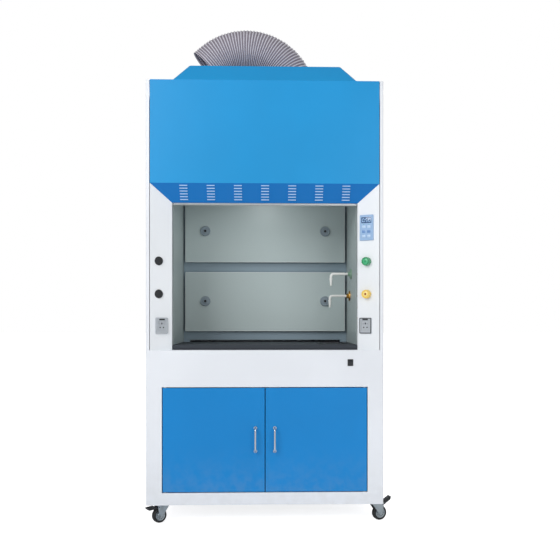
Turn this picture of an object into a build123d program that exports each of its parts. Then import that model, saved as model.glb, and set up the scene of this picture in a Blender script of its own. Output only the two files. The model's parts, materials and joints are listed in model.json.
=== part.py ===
from build123d import *
import os
from math import atan, cos, degrees, radians, sin

# Ducted fume hood on a wheeled base cabinet, in millimetres.
# The origin is on the floor under the centre of the body. X points to the
# viewer's right, Y to the back and Z up. A depth is counted from the front
# plane of the body towards the back.

# Body
BODY_WIDTH = 1200.0
BODY_DEPTH = 800.0
SHEET = 2.0
SEAM = 0.5
SEAT_GAP = 0.3
RUN_GAP = 0.08

# Heights of the stack: the base hangs from the worktop, and the hood stands on it
BASE_BOTTOM = 94.0
DECK_UNDERSIDE = 112.0
DECK_TOP = 150.0
DOOR_OPENING_BOTTOM = 156.0
WORKTOP_UNDERSIDE = 875.0
WORKTOP_THICK = 26.0
WORKTOP_TOP = WORKTOP_UNDERSIDE + WORKTOP_THICK
DECK_HEIGHT = 117.0
BASE_TOP = WORKTOP_UNDERSIDE - DECK_HEIGHT
DOOR_HEAD = 69.0
DOOR_OPENING_TOP = BASE_TOP - DOOR_HEAD
OPENING_HEIGHT = 726.0
OPENING_TOP = WORKTOP_TOP + OPENING_HEIGHT
BEVEL_RISE = 92.0
COVER_BOTTOM = OPENING_TOP + BEVEL_RISE
CHAMBER_HEIGHT = 859.0
CEILING_UNDERSIDE = WORKTOP_TOP + CHAMBER_HEIGHT
CEILING_THICK = 4.0
BLOWER_SPACE = 430.0
ROOF_TOP = CEILING_UNDERSIDE + BLOWER_SPACE
ROOF_THICK = 3.0
ROOF_RECESS = 50.0
BODY_TOP = ROOF_TOP + ROOF_RECESS

# Base cabinet and doors
STILE_WIDTH = 80.0
FACE_DEPTH = 20.0
CARCASS_WALL = 20.0
SKIRT = 3.0
DOOR_GAP = 4.0
DOOR_THICK = 20.0
DOOR_SKIN = 1.5
PIVOT_INSET = 12.0
PIN_R = 4.0
PIN_REACH = 12.0
HANDLE_SPACING = 98.0
HANDLE_LENGTH = 116.0
HANDLE_RISE = 1.5
HANDLE_STAND = 30.0
HANDLE_R = 5.0
HANDLE_BEND = 14.0

# Casters: 75 mm wheels, two of them with a brake pedal
WHEEL_R = 37.5
WHEEL_WIDTH = 30.0
CASTER_TRAIL = 28.0
AXLE_R = 4.0
KINGPIN_R = 5.0
PLATE_THICK = 3.0
PLATE_LENGTH = 66.0
PLATE_WIDTH = 60.0
RACEWAY_R = 26.0
RACEWAY_Z = 98.0
FORK_SHEET = 3.0
FORK_GAP = 2.0
CASTER_INSET_Y = 55.0
CASTER_INSET_X = 39.0
FRONT_LEFT_INSET_X = 85.0
HEADINGS = {"front_left": 217.0, "front_right": 22.0, "rear_left": 176.0, "rear_right": 12.0}

# Opening surround: two angled columns and a louvred bevel meet in a mitre
SURROUND_OUTER = 580.0
SURROUND_INNER = 475.0
SURROUND_DEPTH = 60.0
COLUMN_RETURN = 12.0
COVER_SKIN = 3.0
LOUVRE_GROUPS = 7
LOUVRE_PITCH_X = 137.5
LOUVRE_ROWS = 6
LOUVRE_PITCH = 15.6
LOUVRE_LENGTH = 40.0
LOUVRE_SLOT = 7.0
LOUVRE_LIP = 3.0

# Top cover
TOP_COVER_WIDTH = 936.0
TOP_COVER_RISE = 95.0
TOP_COVER_INSET = 78.0
TOP_COVER_LENGTH = 300.0

# Work chamber
LINER_INNER = 473.0
LINER_THICK = 5.0
LINER_FRONT = 110.0
LINER_REAR = BODY_DEPTH - 16.0
BOARD_THICK = 6.0
BOARD_WIDTH = 922.0
BOARD_HEIGHT = 340.0
BOARD_BOTTOMS = (WORKTOP_TOP + 63.0, WORKTOP_TOP + 461.0)
PLENUM_SPACE = 146.0
PLENUM_DEPTH = LINER_REAR - PLENUM_SPACE
PLENUM_THICK = 4.0
BOARD_STAND = 28.0
BOARD_DEPTH = PLENUM_DEPTH - BOARD_STAND
STANDOFF_X = 346.0
STANDOFF_Z = (BOARD_BOTTOMS[0] + 173.0, BOARD_BOTTOMS[1] + 179.0)
STANDOFF_R = 29.0
STUD_R = 6.0

# Sash: two panels in one pair of tracks, hung from a winding shaft
LARGE_DRUM_R = 33.0
SASH_STEP = LARGE_DRUM_R / 2
SASH_THICK = 10.0
SASH_HALF_WIDTH = 500.0
SASH_STILE = 24.0
SASH_RAIL = 26.0
SASH_HEIGHT = 385.0
SASH_OVERLAP = 8.0
SASH_BOTTOM = OPENING_TOP - SASH_OVERLAP
SASH_DEPTH = 83.25
GLASS_THICK = 5.0
TRACK_RIB = 2.5
TRACK_GROOVE = 13.5
TRACK_INNER = 479.0
TRACK_WEB_X = 502.0
TRACK_WEB = 4.0
TRACK_TOP = OPENING_TOP + 453.0
SHAFT_Z = TRACK_TOP + 50.0
SHAFT_R = 12.5
CABLE_R = 1.25
CABLE_X = (483.0, 494.0)

# Blower, exhaust collar and flexible duct
FAN_X = 40.0
FAN_DEPTH = BODY_DEPTH - 350.0
FAN_Z = ROOF_TOP - 240.0
FAN_WIDTH = 110.0
SCROLL_R = 140.0
SCROLL_STEP = 18.0
SCROLL_SKIN = 2.0
IMPELLER_R = 110.0
IMPELLER_WIDTH = 80.0
BLADE_COUNT = 24
BLADE_THICK = 1.5
BLADE_DEPTH = 24.0
FAN_SHAFT_R = 8.0
MOTOR_R = 62.0
MOTOR_LENGTH = 150.0
DUCT_R = 125.0
DUCT_WALL = 3.0
DUCT_BEND = 271.0
DUCT_ARC = 132.0
DUCT_CUFF_LENGTH = 40.0
DUCT_ARC_Z = ROOF_TOP + 55.0
COLLAR_WALL = 3.0

# Services
PIPE_R = 6.35
INLET_R = 10.0
INLET_REACH = 30.0
INLET_NUT = 6.0
KNOB_R = 23.0
KNOB_DEPTH = 24.0
SPINDLE_R = 4.0
WATER_VALVE_Z = WORKTOP_TOP + 426.0
GAS_VALVE_Z = WORKTOP_TOP + 259.0
VALVE_ACROSS = 0.56
WATER_OUTLET = (350.0, WORKTOP_TOP + 379.0)
GAS_OUTLET = (430.0, WORKTOP_TOP + 261.0)
OUTLET_REACH = 112.0

# Places worked out from the sizes above
HALF_WIDTH = BODY_WIDTH / 2
FRONT = -BODY_DEPTH / 2
REAR = BODY_DEPTH / 2
DOOR_OPENING_HALF = HALF_WIDTH - STILE_WIDTH
DOOR_WIDTH = DOOR_OPENING_HALF - 1.5 * DOOR_GAP
DOOR_HEIGHT = DOOR_OPENING_TOP - DOOR_OPENING_BOTTOM - 2 * DOOR_GAP
DOOR_CENTRE_X = DOOR_GAP / 2 + DOOR_WIDTH / 2
DOOR_CENTRE_Z = (DOOR_OPENING_TOP + DOOR_OPENING_BOTTOM) / 2
HANDLE_Z = DOOR_CENTRE_Z + HANDLE_RISE
PIVOT_X = DOOR_OPENING_HALF - DOOR_GAP - PIVOT_INSET
PIVOT_Y = FRONT + DOOR_THICK / 2
LINER_OUTER = LINER_INNER + LINER_THICK
SIDE_INNER = SURROUND_OUTER + 3.0
FORK_HALF = WHEEL_WIDTH / 2 + FORK_GAP
SHAFT_Y = FRONT + SASH_DEPTH + LARGE_DRUM_R
SMALL_DRUM_R = LARGE_DRUM_R / 2
FAN_Y = FRONT + FAN_DEPTH
COLLAR_X = FAN_X + 127.0
SCROLL_RIGHT = 196.0

os.makedirs("parts", exist_ok=True)


def at_depth(depth):
    """Vertical plane that faces the viewer, at a depth behind the front plane."""
    return Plane.XZ.offset(BODY_DEPTH / 2 - depth)


def column_plane(side, across, height):
    """Plane on a column's angled face; across runs from 0 at its outer edge to 1."""
    run = SURROUND_OUTER - SURROUND_INNER
    length = (run**2 + SURROUND_DEPTH**2) ** 0.5
    normal = (-side * SURROUND_DEPTH / length, -run / length, 0)
    x = side * (SURROUND_OUTER - run * across)
    y = FRONT + SURROUND_DEPTH * across
    return Plane(origin=(x, y, height), x_dir=(-normal[1], normal[0], 0), z_dir=normal)


# Base cabinet: a face frame, and a carcass of walls, back and deck
with BuildPart() as base_frame:
    with BuildSketch(at_depth(0)):
        with Locations((0, (BASE_BOTTOM + BASE_TOP) / 2)):
            Rectangle(BODY_WIDTH, BASE_TOP - BASE_BOTTOM)
        with Locations((0, DOOR_CENTRE_Z)):
            Rectangle(2 * DOOR_OPENING_HALF, DOOR_OPENING_TOP - DOOR_OPENING_BOTTOM, mode=Mode.SUBTRACT)
    extrude(amount=-FACE_DEPTH)
    front_edges = base_frame.edges().filter_by(Axis.Z).group_by(Axis.Y)[0].sort_by(Axis.X)
    fillet([front_edges[0], front_edges[-1]], 5)
base_frame.part.label = "base_frame"
export_step(base_frame.part, "parts/base_frame.step")

CARCASS_LENGTH = BODY_DEPTH - FACE_DEPTH
with BuildPart() as base_carcass:
    with BuildSketch(Plane.XY.offset(DECK_UNDERSIDE)):
        with Locations((0, FACE_DEPTH / 2)):
            Rectangle(BODY_WIDTH, CARCASS_LENGTH)
        with Locations((0, (FACE_DEPTH - CARCASS_WALL) / 2)):
            Rectangle(BODY_WIDTH - 2 * CARCASS_WALL, CARCASS_LENGTH - CARCASS_WALL, mode=Mode.SUBTRACT)
    extrude(amount=BASE_TOP - DECK_UNDERSIDE)
    with BuildSketch(Plane.XY.offset(DECK_UNDERSIDE)):
        with Locations((0, FACE_DEPTH / 2)):
            Rectangle(BODY_WIDTH, CARCASS_LENGTH)
    extrude(amount=DECK_TOP - DECK_UNDERSIDE)
    with BuildSketch(Plane.XY.offset(BASE_BOTTOM)):
        with Locations((0, FACE_DEPTH / 2)):
            Rectangle(BODY_WIDTH, CARCASS_LENGTH)
        with Locations((0, (FACE_DEPTH - SKIRT) / 2)):
            Rectangle(BODY_WIDTH - 2 * SKIRT, CARCASS_LENGTH - SKIRT, mode=Mode.SUBTRACT)
    extrude(amount=DECK_UNDERSIDE - BASE_BOTTOM)
base_carcass.part.label = "base_carcass"
export_step(base_carcass.part, "parts/base_carcass.step")

# Doors: folded pans on pivot pins, each with a bow handle
PIVOT_BLOCK = 18.0
for side, hand in ((-1, "left"), (1, "right")):
    with BuildPart() as door:
        with BuildSketch(at_depth(0)):
            with Locations((side * DOOR_CENTRE_X, DOOR_CENTRE_Z)):
                Rectangle(DOOR_WIDTH, DOOR_HEIGHT)
        extrude(amount=-DOOR_THICK)
        fillet(door.edges().group_by(Axis.Y)[0], 1.4)
        offset(amount=-DOOR_SKIN, openings=door.faces().sort_by(Axis.Y)[-1])
        for end in (-1, 1):
            block_z = DOOR_CENTRE_Z + end * (DOOR_HEIGHT / 2 - PIN_REACH / 2)
            with Locations((side * PIVOT_X, PIVOT_Y, block_z)):
                Box(PIVOT_BLOCK, DOOR_THICK - 2 * DOOR_SKIN, PIN_REACH)
            with BuildSketch(Plane.XY.offset(block_z)):
                with Locations((side * PIVOT_X, PIVOT_Y)):
                    Circle(PIN_R + RUN_GAP)
            extrude(amount=PIN_REACH, both=True, mode=Mode.SUBTRACT)
    door.part.label = f"door_{hand}"
    export_step(door.part, f"parts/door_{hand}.step")

    foot_y = FRONT - SEAT_GAP
    with BuildPart() as handle:
        with BuildLine(Plane.YZ.offset(side * HANDLE_SPACING / 2)) as bow:
            FilletPolyline(
                (foot_y, HANDLE_Z - HANDLE_LENGTH / 2),
                (foot_y - HANDLE_STAND, HANDLE_Z - HANDLE_LENGTH / 2),
                (foot_y - HANDLE_STAND, HANDLE_Z + HANDLE_LENGTH / 2),
                (foot_y, HANDLE_Z + HANDLE_LENGTH / 2),
                radius=HANDLE_BEND,
            )
        with BuildSketch(Plane(origin=bow.line @ 0, z_dir=bow.line % 0)):
            Circle(HANDLE_R)
        sweep()
        with BuildSketch(Plane.XZ.offset(-foot_y)):
            with Locations((side * HANDLE_SPACING / 2, HANDLE_Z)):
                with GridLocations(1, HANDLE_LENGTH, 1, 2):
                    Circle(1.7 * HANDLE_R)
        extrude(amount=2.5)
    handle.part.label = f"door_handle_{hand}"
    export_step(handle.part, f"parts/door_handle_{hand}.step")

# Pivot pins fixed to the rails, and magnetic catches behind the top rail
CATCH_WIDTH = 46.0
CATCH_DEPTH = 14.0
CATCH_DROP = 16.0
with BuildPart() as door_fittings:
    for side in (-1, 1):
        for rail_z, way in ((DOOR_OPENING_BOTTOM, 1), (DOOR_OPENING_TOP, -1)):
            base = Plane(origin=(side * PIVOT_X, PIVOT_Y, rail_z), z_dir=(0, 0, way))
            with BuildSketch(base):
                Circle(2 * PIN_R)
            extrude(amount=DOOR_GAP - SEAT_GAP)
            with BuildSketch(base):
                Circle(PIN_R)
            extrude(amount=DOOR_GAP + PIN_REACH - 1)
        catch_y = FRONT + FACE_DEPTH + SEAT_GAP + CATCH_DEPTH / 2
        with Locations((side * HANDLE_SPACING / 2, catch_y, DOOR_OPENING_TOP)):
            Box(CATCH_WIDTH, CATCH_DEPTH, 2 * CATCH_DROP)
door_fittings.part.label = "door_fittings"
export_step(door_fittings.part, "parts/door_fittings.step")

# Casters
CASTERS = {
    "front_left": (-HALF_WIDTH + FRONT_LEFT_INSET_X, FRONT + CASTER_INSET_Y),
    "front_right": (HALF_WIDTH - CASTER_INSET_X, FRONT + CASTER_INSET_Y),
    "rear_left": (-HALF_WIDTH + CASTER_INSET_X, REAR - CASTER_INSET_Y),
    "rear_right": (HALF_WIDTH - CASTER_INSET_X, REAR - CASTER_INSET_Y),
}
CROWN_TOP = RACEWAY_Z - SEAT_GAP
CROWN_BOTTOM = 88.0
HEAD_R = 9.0
HEAD_THICK = 4.5
with BuildPart() as caster_plates:
    for x, y in CASTERS.values():
        with BuildSketch(Plane.XY.offset(DECK_UNDERSIDE - PLATE_THICK)):
            with Locations((x, y)):
                RectangleRounded(PLATE_WIDTH, PLATE_LENGTH, 6)
        extrude(amount=PLATE_THICK)
        with BuildSketch(Plane.XY.offset(RACEWAY_Z)):
            with Locations((x, y)):
                Circle(RACEWAY_R)
        extrude(amount=DECK_UNDERSIDE - PLATE_THICK - RACEWAY_Z)
        pin_foot = CROWN_BOTTOM - SEAT_GAP - HEAD_THICK
        with BuildSketch(Plane.XY.offset(pin_foot)):
            with Locations((x, y)):
                Circle(KINGPIN_R)
        extrude(amount=RACEWAY_Z - pin_foot)
        with BuildSketch(Plane.XY.offset(pin_foot)):
            with Locations((x, y)):
                RegularPolygon(HEAD_R, 6)
        extrude(amount=HEAD_THICK)
caster_plates.part.label = "caster_plates"
export_step(caster_plates.part, "parts/caster_plates.step")

FORK_TOP_FRONT = -21.0
FORK_TOP_REAR = 46.0
LEVER_X = 40.0
LEVER_Z = 81.0
LEVER_R = 3.0
PEDAL_TURN = 35.0
for name, (x, y) in CASTERS.items():
    heading = HEADINGS[name]
    caster = Plane(origin=(x, y, 0), x_dir=(cos(radians(heading)), sin(radians(heading)), 0), z_dir=(0, 0, 1))
    upright = Plane(origin=(x, y, 0), x_dir=caster.x_dir, z_dir=-caster.y_dir)
    braked = name.startswith("front")
    with BuildPart() as fork:
        with BuildSketch(upright) as cheek:
            with Locations((CASTER_TRAIL, WHEEL_R)):
                Circle(10)
            with Locations(((FORK_TOP_FRONT + FORK_TOP_REAR) / 2, CROWN_BOTTOM)):
                Rectangle(FORK_TOP_REAR - FORK_TOP_FRONT, 2)
            make_hull()
        extrude(amount=FORK_HALF + FORK_SHEET, both=True)
        with BuildSketch(upright):
            with Locations(((FORK_TOP_FRONT + FORK_TOP_REAR) / 2, CROWN_BOTTOM / 2 - FORK_SHEET / 2)):
                Rectangle(4 * WHEEL_R, CROWN_BOTTOM - FORK_SHEET)
        extrude(amount=FORK_HALF, both=True, mode=Mode.SUBTRACT)
        with BuildSketch(Plane.XY.offset(CROWN_BOTTOM - FORK_SHEET)):
            with Locations((x, y)):
                Circle(FORK_HALF + FORK_SHEET)
        extrude(amount=CROWN_TOP - CROWN_BOTTOM + FORK_SHEET)
        with BuildSketch(Plane.XY.offset(RACEWAY_Z)):
            with Locations((x, y)):
                Circle(KINGPIN_R + RUN_GAP)
        extrude(amount=-RACEWAY_Z / 2, mode=Mode.SUBTRACT)
        with BuildSketch(Plane.XY.offset(CROWN_BOTTOM)):
            with Locations((x, y)):
                Circle(HEAD_R + 2)
        extrude(amount=-CROWN_BOTTOM / 2, mode=Mode.SUBTRACT)
        if braked:
            with BuildSketch(upright):
                with Locations((LEVER_X, LEVER_Z)):
                    Circle(LEVER_R + RUN_GAP)
            extrude(amount=2 * FORK_HALF, both=True, mode=Mode.SUBTRACT)
        with BuildSketch(upright):
            with Locations((CASTER_TRAIL, WHEEL_R)):
                Circle(AXLE_R)
        extrude(amount=FORK_HALF + FORK_SHEET + 1, both=True)
        for way in (-1, 1):
            with BuildSketch(upright.offset(way * (FORK_HALF + FORK_SHEET + 0.1))):
                with Locations((CASTER_TRAIL, WHEEL_R)):
                    RegularPolygon(1.7 * AXLE_R, 6)
            extrude(amount=way * AXLE_R)
    fork.part.label = f"caster_fork_{name}"
    export_step(fork.part, f"parts/caster_fork_{name}.step")

    with BuildPart() as wheel:
        with BuildSketch(Plane(origin=upright.from_local_coords((CASTER_TRAIL, WHEEL_R, 0)),
                               x_dir=upright.x_dir, z_dir=(0, 0, 1))):
            half = WHEEL_WIDTH / 2
            with BuildLine():
                Polyline(
                    (AXLE_R + RUN_GAP, -half - 1), (12, -half - 1), (14, -half + 7), (24, -half + 7),
                    (26, -half + 1), (WHEEL_R - 5, -half), (WHEEL_R, -half + 7), (WHEEL_R, half - 7),
                    (WHEEL_R - 5, half), (26, half - 1), (24, half - 7), (14, half - 7),
                    (12, half + 1), (AXLE_R + RUN_GAP, half + 1), close=True,
                )
            make_face()
        revolve(axis=Axis(upright.from_local_coords((CASTER_TRAIL, WHEEL_R, 0)), upright.z_dir))
    wheel.part.label = f"caster_wheel_{name}"
    export_step(wheel.part, f"parts/caster_wheel_{name}.step")
    if not braked:
        continue

    # The brake pedal: an arm on a cross pin behind the crown, and a ribbed pad
    pressed = name == "front_left"
    turn = -PEDAL_TURN if pressed else 0.0
    hinge = Plane(
        origin=upright.from_local_coords((LEVER_X, LEVER_Z, 0)),
        x_dir=upright.x_dir.rotate(Axis((0, 0, 0), upright.z_dir), turn),
        z_dir=upright.z_dir,
    )
    with BuildPart() as brake:
        with BuildSketch(hinge):
            with BuildLine():
                Polyline((-3, -2.4), (16, -2.4), (20, 3), (48, 20), (51, 34), (47, 38), (40, 33), (13, 17), (10, 3),
                         (-3, 2.4), close=True)
            make_face()
        extrude(amount=13, both=True)
        with BuildSketch(hinge):
            Circle(LEVER_R)
        extrude(amount=FORK_HALF + FORK_SHEET, both=True)
    brake.part.label = f"caster_brake_{name}"
    export_step(brake.part, f"parts/caster_brake_{name}.step")

# Deck frame under the worktop, with the light switch in its front
SWITCH_X = 432.0
SWITCH_Z = WORKTOP_UNDERSIDE - 63.0
SWITCH_WIDTH = 28.0
SWITCH_HEIGHT = 34.0
DECK_SHEET = 3.0
DECK_FLANGE = 140.0
with BuildPart() as deck_frame:
    with BuildSketch(Plane.XY.offset(BASE_TOP)):
        Rectangle(BODY_WIDTH, BODY_DEPTH)
    extrude(amount=DECK_HEIGHT)
    front_edges = deck_frame.edges().filter_by(Axis.Z).group_by(Axis.Y)[0]
    fillet(front_edges, 5)
    with BuildSketch(Plane.XY.offset(BASE_TOP + DECK_SHEET)):
        Rectangle(BODY_WIDTH - 2 * DECK_SHEET, BODY_DEPTH - 2 * DECK_SHEET)
    extrude(amount=DECK_HEIGHT - 2 * DECK_SHEET, mode=Mode.SUBTRACT)
    with BuildSketch(Plane.XY.offset(BASE_TOP)):
        Rectangle(BODY_WIDTH - 2 * DECK_FLANGE, BODY_DEPTH - 2 * DECK_FLANGE)
    extrude(amount=DECK_HEIGHT, mode=Mode.SUBTRACT)
    with BuildSketch(at_depth(0)):
        with Locations((SWITCH_X, SWITCH_Z)):
            Rectangle(SWITCH_WIDTH - 4, SWITCH_HEIGHT - 4)
    extrude(amount=-2 * DECK_SHEET, mode=Mode.SUBTRACT)
deck_frame.part.label = "deck_frame"
export_step(deck_frame.part, "parts/deck_frame.step")

# Rocker switch: a housing that snaps into the front, and a rocker on a cross pin
ROCKER_WIDTH = 18.0
ROCKER_HEIGHT = 24.0
ROCKER_TILT = 9.0
BEZEL_THICK = 3.0
with BuildPart() as switch_housing:
    with BuildSketch(at_depth(-SEAT_GAP)):
        with Locations((SWITCH_X, SWITCH_Z)):
            RectangleRounded(SWITCH_WIDTH, SWITCH_HEIGHT, 2)
    extrude(amount=BEZEL_THICK)
    with BuildSketch(at_depth(-SEAT_GAP)):
        with Locations((SWITCH_X, SWITCH_Z)):
            Rectangle(SWITCH_WIDTH - 5, SWITCH_HEIGHT - 5)
    extrude(amount=-26)
    with BuildSketch(at_depth(-SEAT_GAP - BEZEL_THICK)):
        with Locations((SWITCH_X, SWITCH_Z)):
            Rectangle(ROCKER_WIDTH + 1, ROCKER_HEIGHT + 1)
    extrude(amount=-15, mode=Mode.SUBTRACT)
switch_housing.part.label = "switch_housing"
export_step(switch_housing.part, "parts/switch_housing.step")

rocker_y = FRONT - BEZEL_THICK + 5
with BuildPart() as rocker:
    with BuildSketch(Plane.YZ.offset(SWITCH_X)):
        with BuildLine():
            half = ROCKER_HEIGHT / 2 - 0.6
            Polyline((rocker_y + 4, SWITCH_Z - half + 2.5), (rocker_y - 5, SWITCH_Z - half), (rocker_y - 4, SWITCH_Z),
                     (rocker_y - 8, SWITCH_Z + half - 1), (rocker_y + 2, SWITCH_Z + half - 2.5), close=True)
        make_face()
    extrude(amount=ROCKER_WIDTH / 2, both=True)
rocker.part.label = "rocker_switch"
export_step(rocker.part, "parts/rocker_switch.step")

# Worktop with a rebate for the liners, and a cup sink let into it
SINK_X = 363.0
SINK_Y = -50.0
SINK_WIDTH = 130.0
SINK_LENGTH = 280.0
SINK_DEPTH = 140.0
SINK_WALL = 3.0
SINK_RIM = 9.0
SINK_CORNER_R = 30.0
DRAIN_R = 20.0
DRAIN_WALL = 2.5
WORKTOP_FRONT = 62.0
REBATE = 5.0
with BuildPart() as worktop:
    with BuildSketch(Plane.XY.offset(WORKTOP_UNDERSIDE)):
        with Locations((0, FRONT + (WORKTOP_FRONT + LINER_REAR) / 2)):
            Rectangle(2 * LINER_OUTER, LINER_REAR - WORKTOP_FRONT)
    extrude(amount=WORKTOP_THICK)
    chamfer(worktop.edges().group_by(Axis.Y)[0].filter_by(Axis.X), 2)
    with BuildSketch(at_depth(WORKTOP_FRONT)):
        with Locations((0, WORKTOP_UNDERSIDE + 7)):
            Rectangle(2 * LINER_OUTER, 2)
    extrude(amount=-1.5, mode=Mode.SUBTRACT)
    for side in (-1, 1):
        with BuildSketch(Plane.XY.offset(WORKTOP_TOP)):
            with Locations((side * LINER_OUTER, 0)):
                Rectangle(2 * (LINER_THICK + SEAT_GAP), BODY_DEPTH)
        extrude(amount=-REBATE, mode=Mode.SUBTRACT)
        with BuildSketch(Plane.XY.offset(WORKTOP_TOP)):
            with Locations((side * LINER_OUTER, FRONT + WORKTOP_FRONT)):
                Rectangle(2 * (LINER_OUTER - SURROUND_INNER + SEAM), 2 * COLUMN_RETURN)
        extrude(amount=-WORKTOP_THICK, mode=Mode.SUBTRACT)
    with BuildSketch(Plane.XY.offset(WORKTOP_TOP)):
        with Locations((SINK_X, SINK_Y)):
            RectangleRounded(SINK_WIDTH + 2, SINK_LENGTH + 2, SINK_CORNER_R + 1)
    extrude(amount=-WORKTOP_THICK, mode=Mode.SUBTRACT)
worktop.part.label = "worktop"
export_step(worktop.part, "parts/worktop.step")

TRAP_DROP = 150.0
TRAP_REACH = 120.0
TRAP_RISE = 80.0
DRAIN_DROP = 330.0
DRAIN_FREE = 60.0
DRAIN_STOP = 6.0
with BuildPart() as cup_sink:
    with BuildSketch(Plane.XY.offset(WORKTOP_TOP + SEAT_GAP)):
        with Locations((SINK_X, SINK_Y)):
            RectangleRounded(SINK_WIDTH + 2 * SINK_RIM, SINK_LENGTH + 2 * SINK_RIM, SINK_CORNER_R + SINK_RIM)
    extrude(amount=SINK_WALL)
    with BuildSketch(Plane.XY.offset(WORKTOP_TOP + SEAT_GAP)):
        with Locations((SINK_X, SINK_Y)):
            RectangleRounded(SINK_WIDTH, SINK_LENGTH, SINK_CORNER_R)
    extrude(amount=-SINK_DEPTH, taper=3)
    with BuildSketch(Plane.XY.offset(WORKTOP_TOP + SEAT_GAP + SINK_WALL)):
        with Locations((SINK_X, SINK_Y)):
            RectangleRounded(SINK_WIDTH - 2 * SINK_WALL, SINK_LENGTH - 2 * SINK_WALL, SINK_CORNER_R - SINK_WALL)
    extrude(amount=-SINK_DEPTH, taper=3, mode=Mode.SUBTRACT)
    drain_top = WORKTOP_TOP - SINK_DEPTH + SINK_WALL
    with BuildLine() as waste:
        FilletPolyline(
            (SINK_X, SINK_Y, drain_top),
            (SINK_X, SINK_Y, drain_top - TRAP_DROP),
            (SINK_X, SINK_Y + TRAP_REACH, drain_top - TRAP_DROP),
            (SINK_X, SINK_Y + TRAP_REACH, drain_top - TRAP_DROP + TRAP_RISE),
            (SINK_X, SINK_Y + 2 * TRAP_REACH, drain_top - TRAP_DROP + TRAP_RISE),
            (SINK_X, SINK_Y + 2 * TRAP_REACH, drain_top - DRAIN_DROP),
            radius=1.8 * DRAIN_R,
        )
    with BuildSketch(Plane(origin=waste.line @ 0, z_dir=waste.line % 0)):
        Circle(DRAIN_R)
    sweep(path=waste.line)
    with BuildSketch(Plane(origin=waste.line @ 0, z_dir=waste.line % 0)):
        Circle(DRAIN_R - DRAIN_WALL)
    sweep(path=waste.line, mode=Mode.SUBTRACT)
    with BuildSketch(Plane.XY.offset(drain_top - DRAIN_DROP + DRAIN_FREE)):
        with Locations((SINK_X, SINK_Y + 2 * TRAP_REACH)):
            Circle(DRAIN_R + DRAIN_WALL)
            Circle(DRAIN_R - DRAIN_WALL / 2, mode=Mode.SUBTRACT)
    extrude(amount=DRAIN_STOP)
cup_sink.part.label = "cup_sink"
export_step(cup_sink.part, "parts/cup_sink.step")

# Angled columns: folded sheet with mitred tops, cut for what they carry
SOCKET_WIDTH = 67.0
SOCKET_HEIGHT = 82.0
SOCKET_Z = WORKTOP_TOP + 98.0
SOCKET_ACROSS = {-1: 0.52, 1: 0.62}
PANEL_WIDTH = 74.0
PANEL_HEIGHT = 130.0
PANEL_Z = OPENING_TOP - 127.0
PANEL_ACROSS = 0.57
PLUG_R = 22.5
PLUG_ACROSS = 0.40
PLUG_NECK_R = 14.0
COLUMN_FOLD = 16.0
for side, hand in ((-1, "left"), (1, "right")):
    with BuildPart() as column:
        with BuildSketch(Plane.XY.offset(WORKTOP_UNDERSIDE)):
            with BuildLine():
                Polyline(
                    (side * SURROUND_OUTER, FRONT + COLUMN_FOLD),
                    (side * SURROUND_OUTER, FRONT),
                    (side * SURROUND_INNER, FRONT + SURROUND_DEPTH),
                    (side * SURROUND_INNER, FRONT + SURROUND_DEPTH + COLUMN_RETURN),
                )
                offset(amount=SHEET, side=Side.LEFT if side < 0 else Side.RIGHT, kind=Kind.INTERSECTION)
            make_face()
        extrude(amount=COVER_BOTTOM - WORKTOP_UNDERSIDE)
        with BuildSketch(at_depth(-1)):
            with BuildLine():
                Polyline(
                    (side * (SURROUND_OUTER + 1), COVER_BOTTOM - SEAM),
                    (side * SURROUND_OUTER, COVER_BOTTOM - SEAM),
                    (side * SURROUND_INNER, OPENING_TOP - SEAM),
                    (side * (SURROUND_INNER - 1), OPENING_TOP - SEAM),
                    (side * (SURROUND_INNER - 1), BODY_TOP),
                    (side * (SURROUND_OUTER + 1), BODY_TOP),
                    close=True,
                )
            make_face()
        extrude(amount=-2 * SURROUND_DEPTH, mode=Mode.SUBTRACT)
        with BuildSketch(column_plane(side, SOCKET_ACROSS[side], SOCKET_Z)):
            Rectangle(SOCKET_WIDTH - 14, SOCKET_HEIGHT - 14)
        extrude(amount=3 * SHEET, both=True, mode=Mode.SUBTRACT)
        for valve_z in (WATER_VALVE_Z, GAS_VALVE_Z):
            with BuildSketch(column_plane(side, PLUG_ACROSS if side < 0 else VALVE_ACROSS, valve_z)):
                Circle(PLUG_NECK_R + SEAT_GAP if side < 0 else 2 * SPINDLE_R)
            extrude(amount=3 * SHEET, both=True, mode=Mode.SUBTRACT)
        if side > 0:
            with BuildSketch(column_plane(side, PANEL_ACROSS, PANEL_Z)):
                Rectangle(PANEL_WIDTH - 12, PANEL_HEIGHT - 12)
            extrude(amount=3 * SHEET, both=True, mode=Mode.SUBTRACT)
    column.part.label = f"column_{hand}"
    export_step(column.part, f"parts/column_{hand}.step")

# Sockets, blanking plugs and the control panel
SOCKET_THICK = 8.0
with BuildPart() as power_sockets:
    for side in (-1, 1):
        face = column_plane(side, SOCKET_ACROSS[side], SOCKET_Z).offset(SEAT_GAP)
        with BuildSketch(face):
            RectangleRounded(SOCKET_WIDTH, SOCKET_HEIGHT, 5)
        extrude(amount=SOCKET_THICK, taper=8)
        with BuildSketch(face):
            Rectangle(SOCKET_WIDTH - 16, SOCKET_HEIGHT - 16)
        extrude(amount=-24)
        with BuildSketch(face.offset(SOCKET_THICK)):
            RectangleRounded(SOCKET_WIDTH - 24, SOCKET_HEIGHT - 30, 4)
        extrude(amount=-3, mode=Mode.SUBTRACT)
        with BuildSketch(face.offset(SOCKET_THICK)):
            with Locations((-9, -9), (9, -9)):
                Circle(2.4)
            with Locations((0, 11)):
                Rectangle(6, 9)
            with Locations((-12, 9), (12, 9)):
                Rectangle(2.4, 7)
        extrude(amount=-18, mode=Mode.SUBTRACT)
power_sockets.part.label = "power_sockets"
export_step(power_sockets.part, "parts/power_sockets.step")

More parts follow.
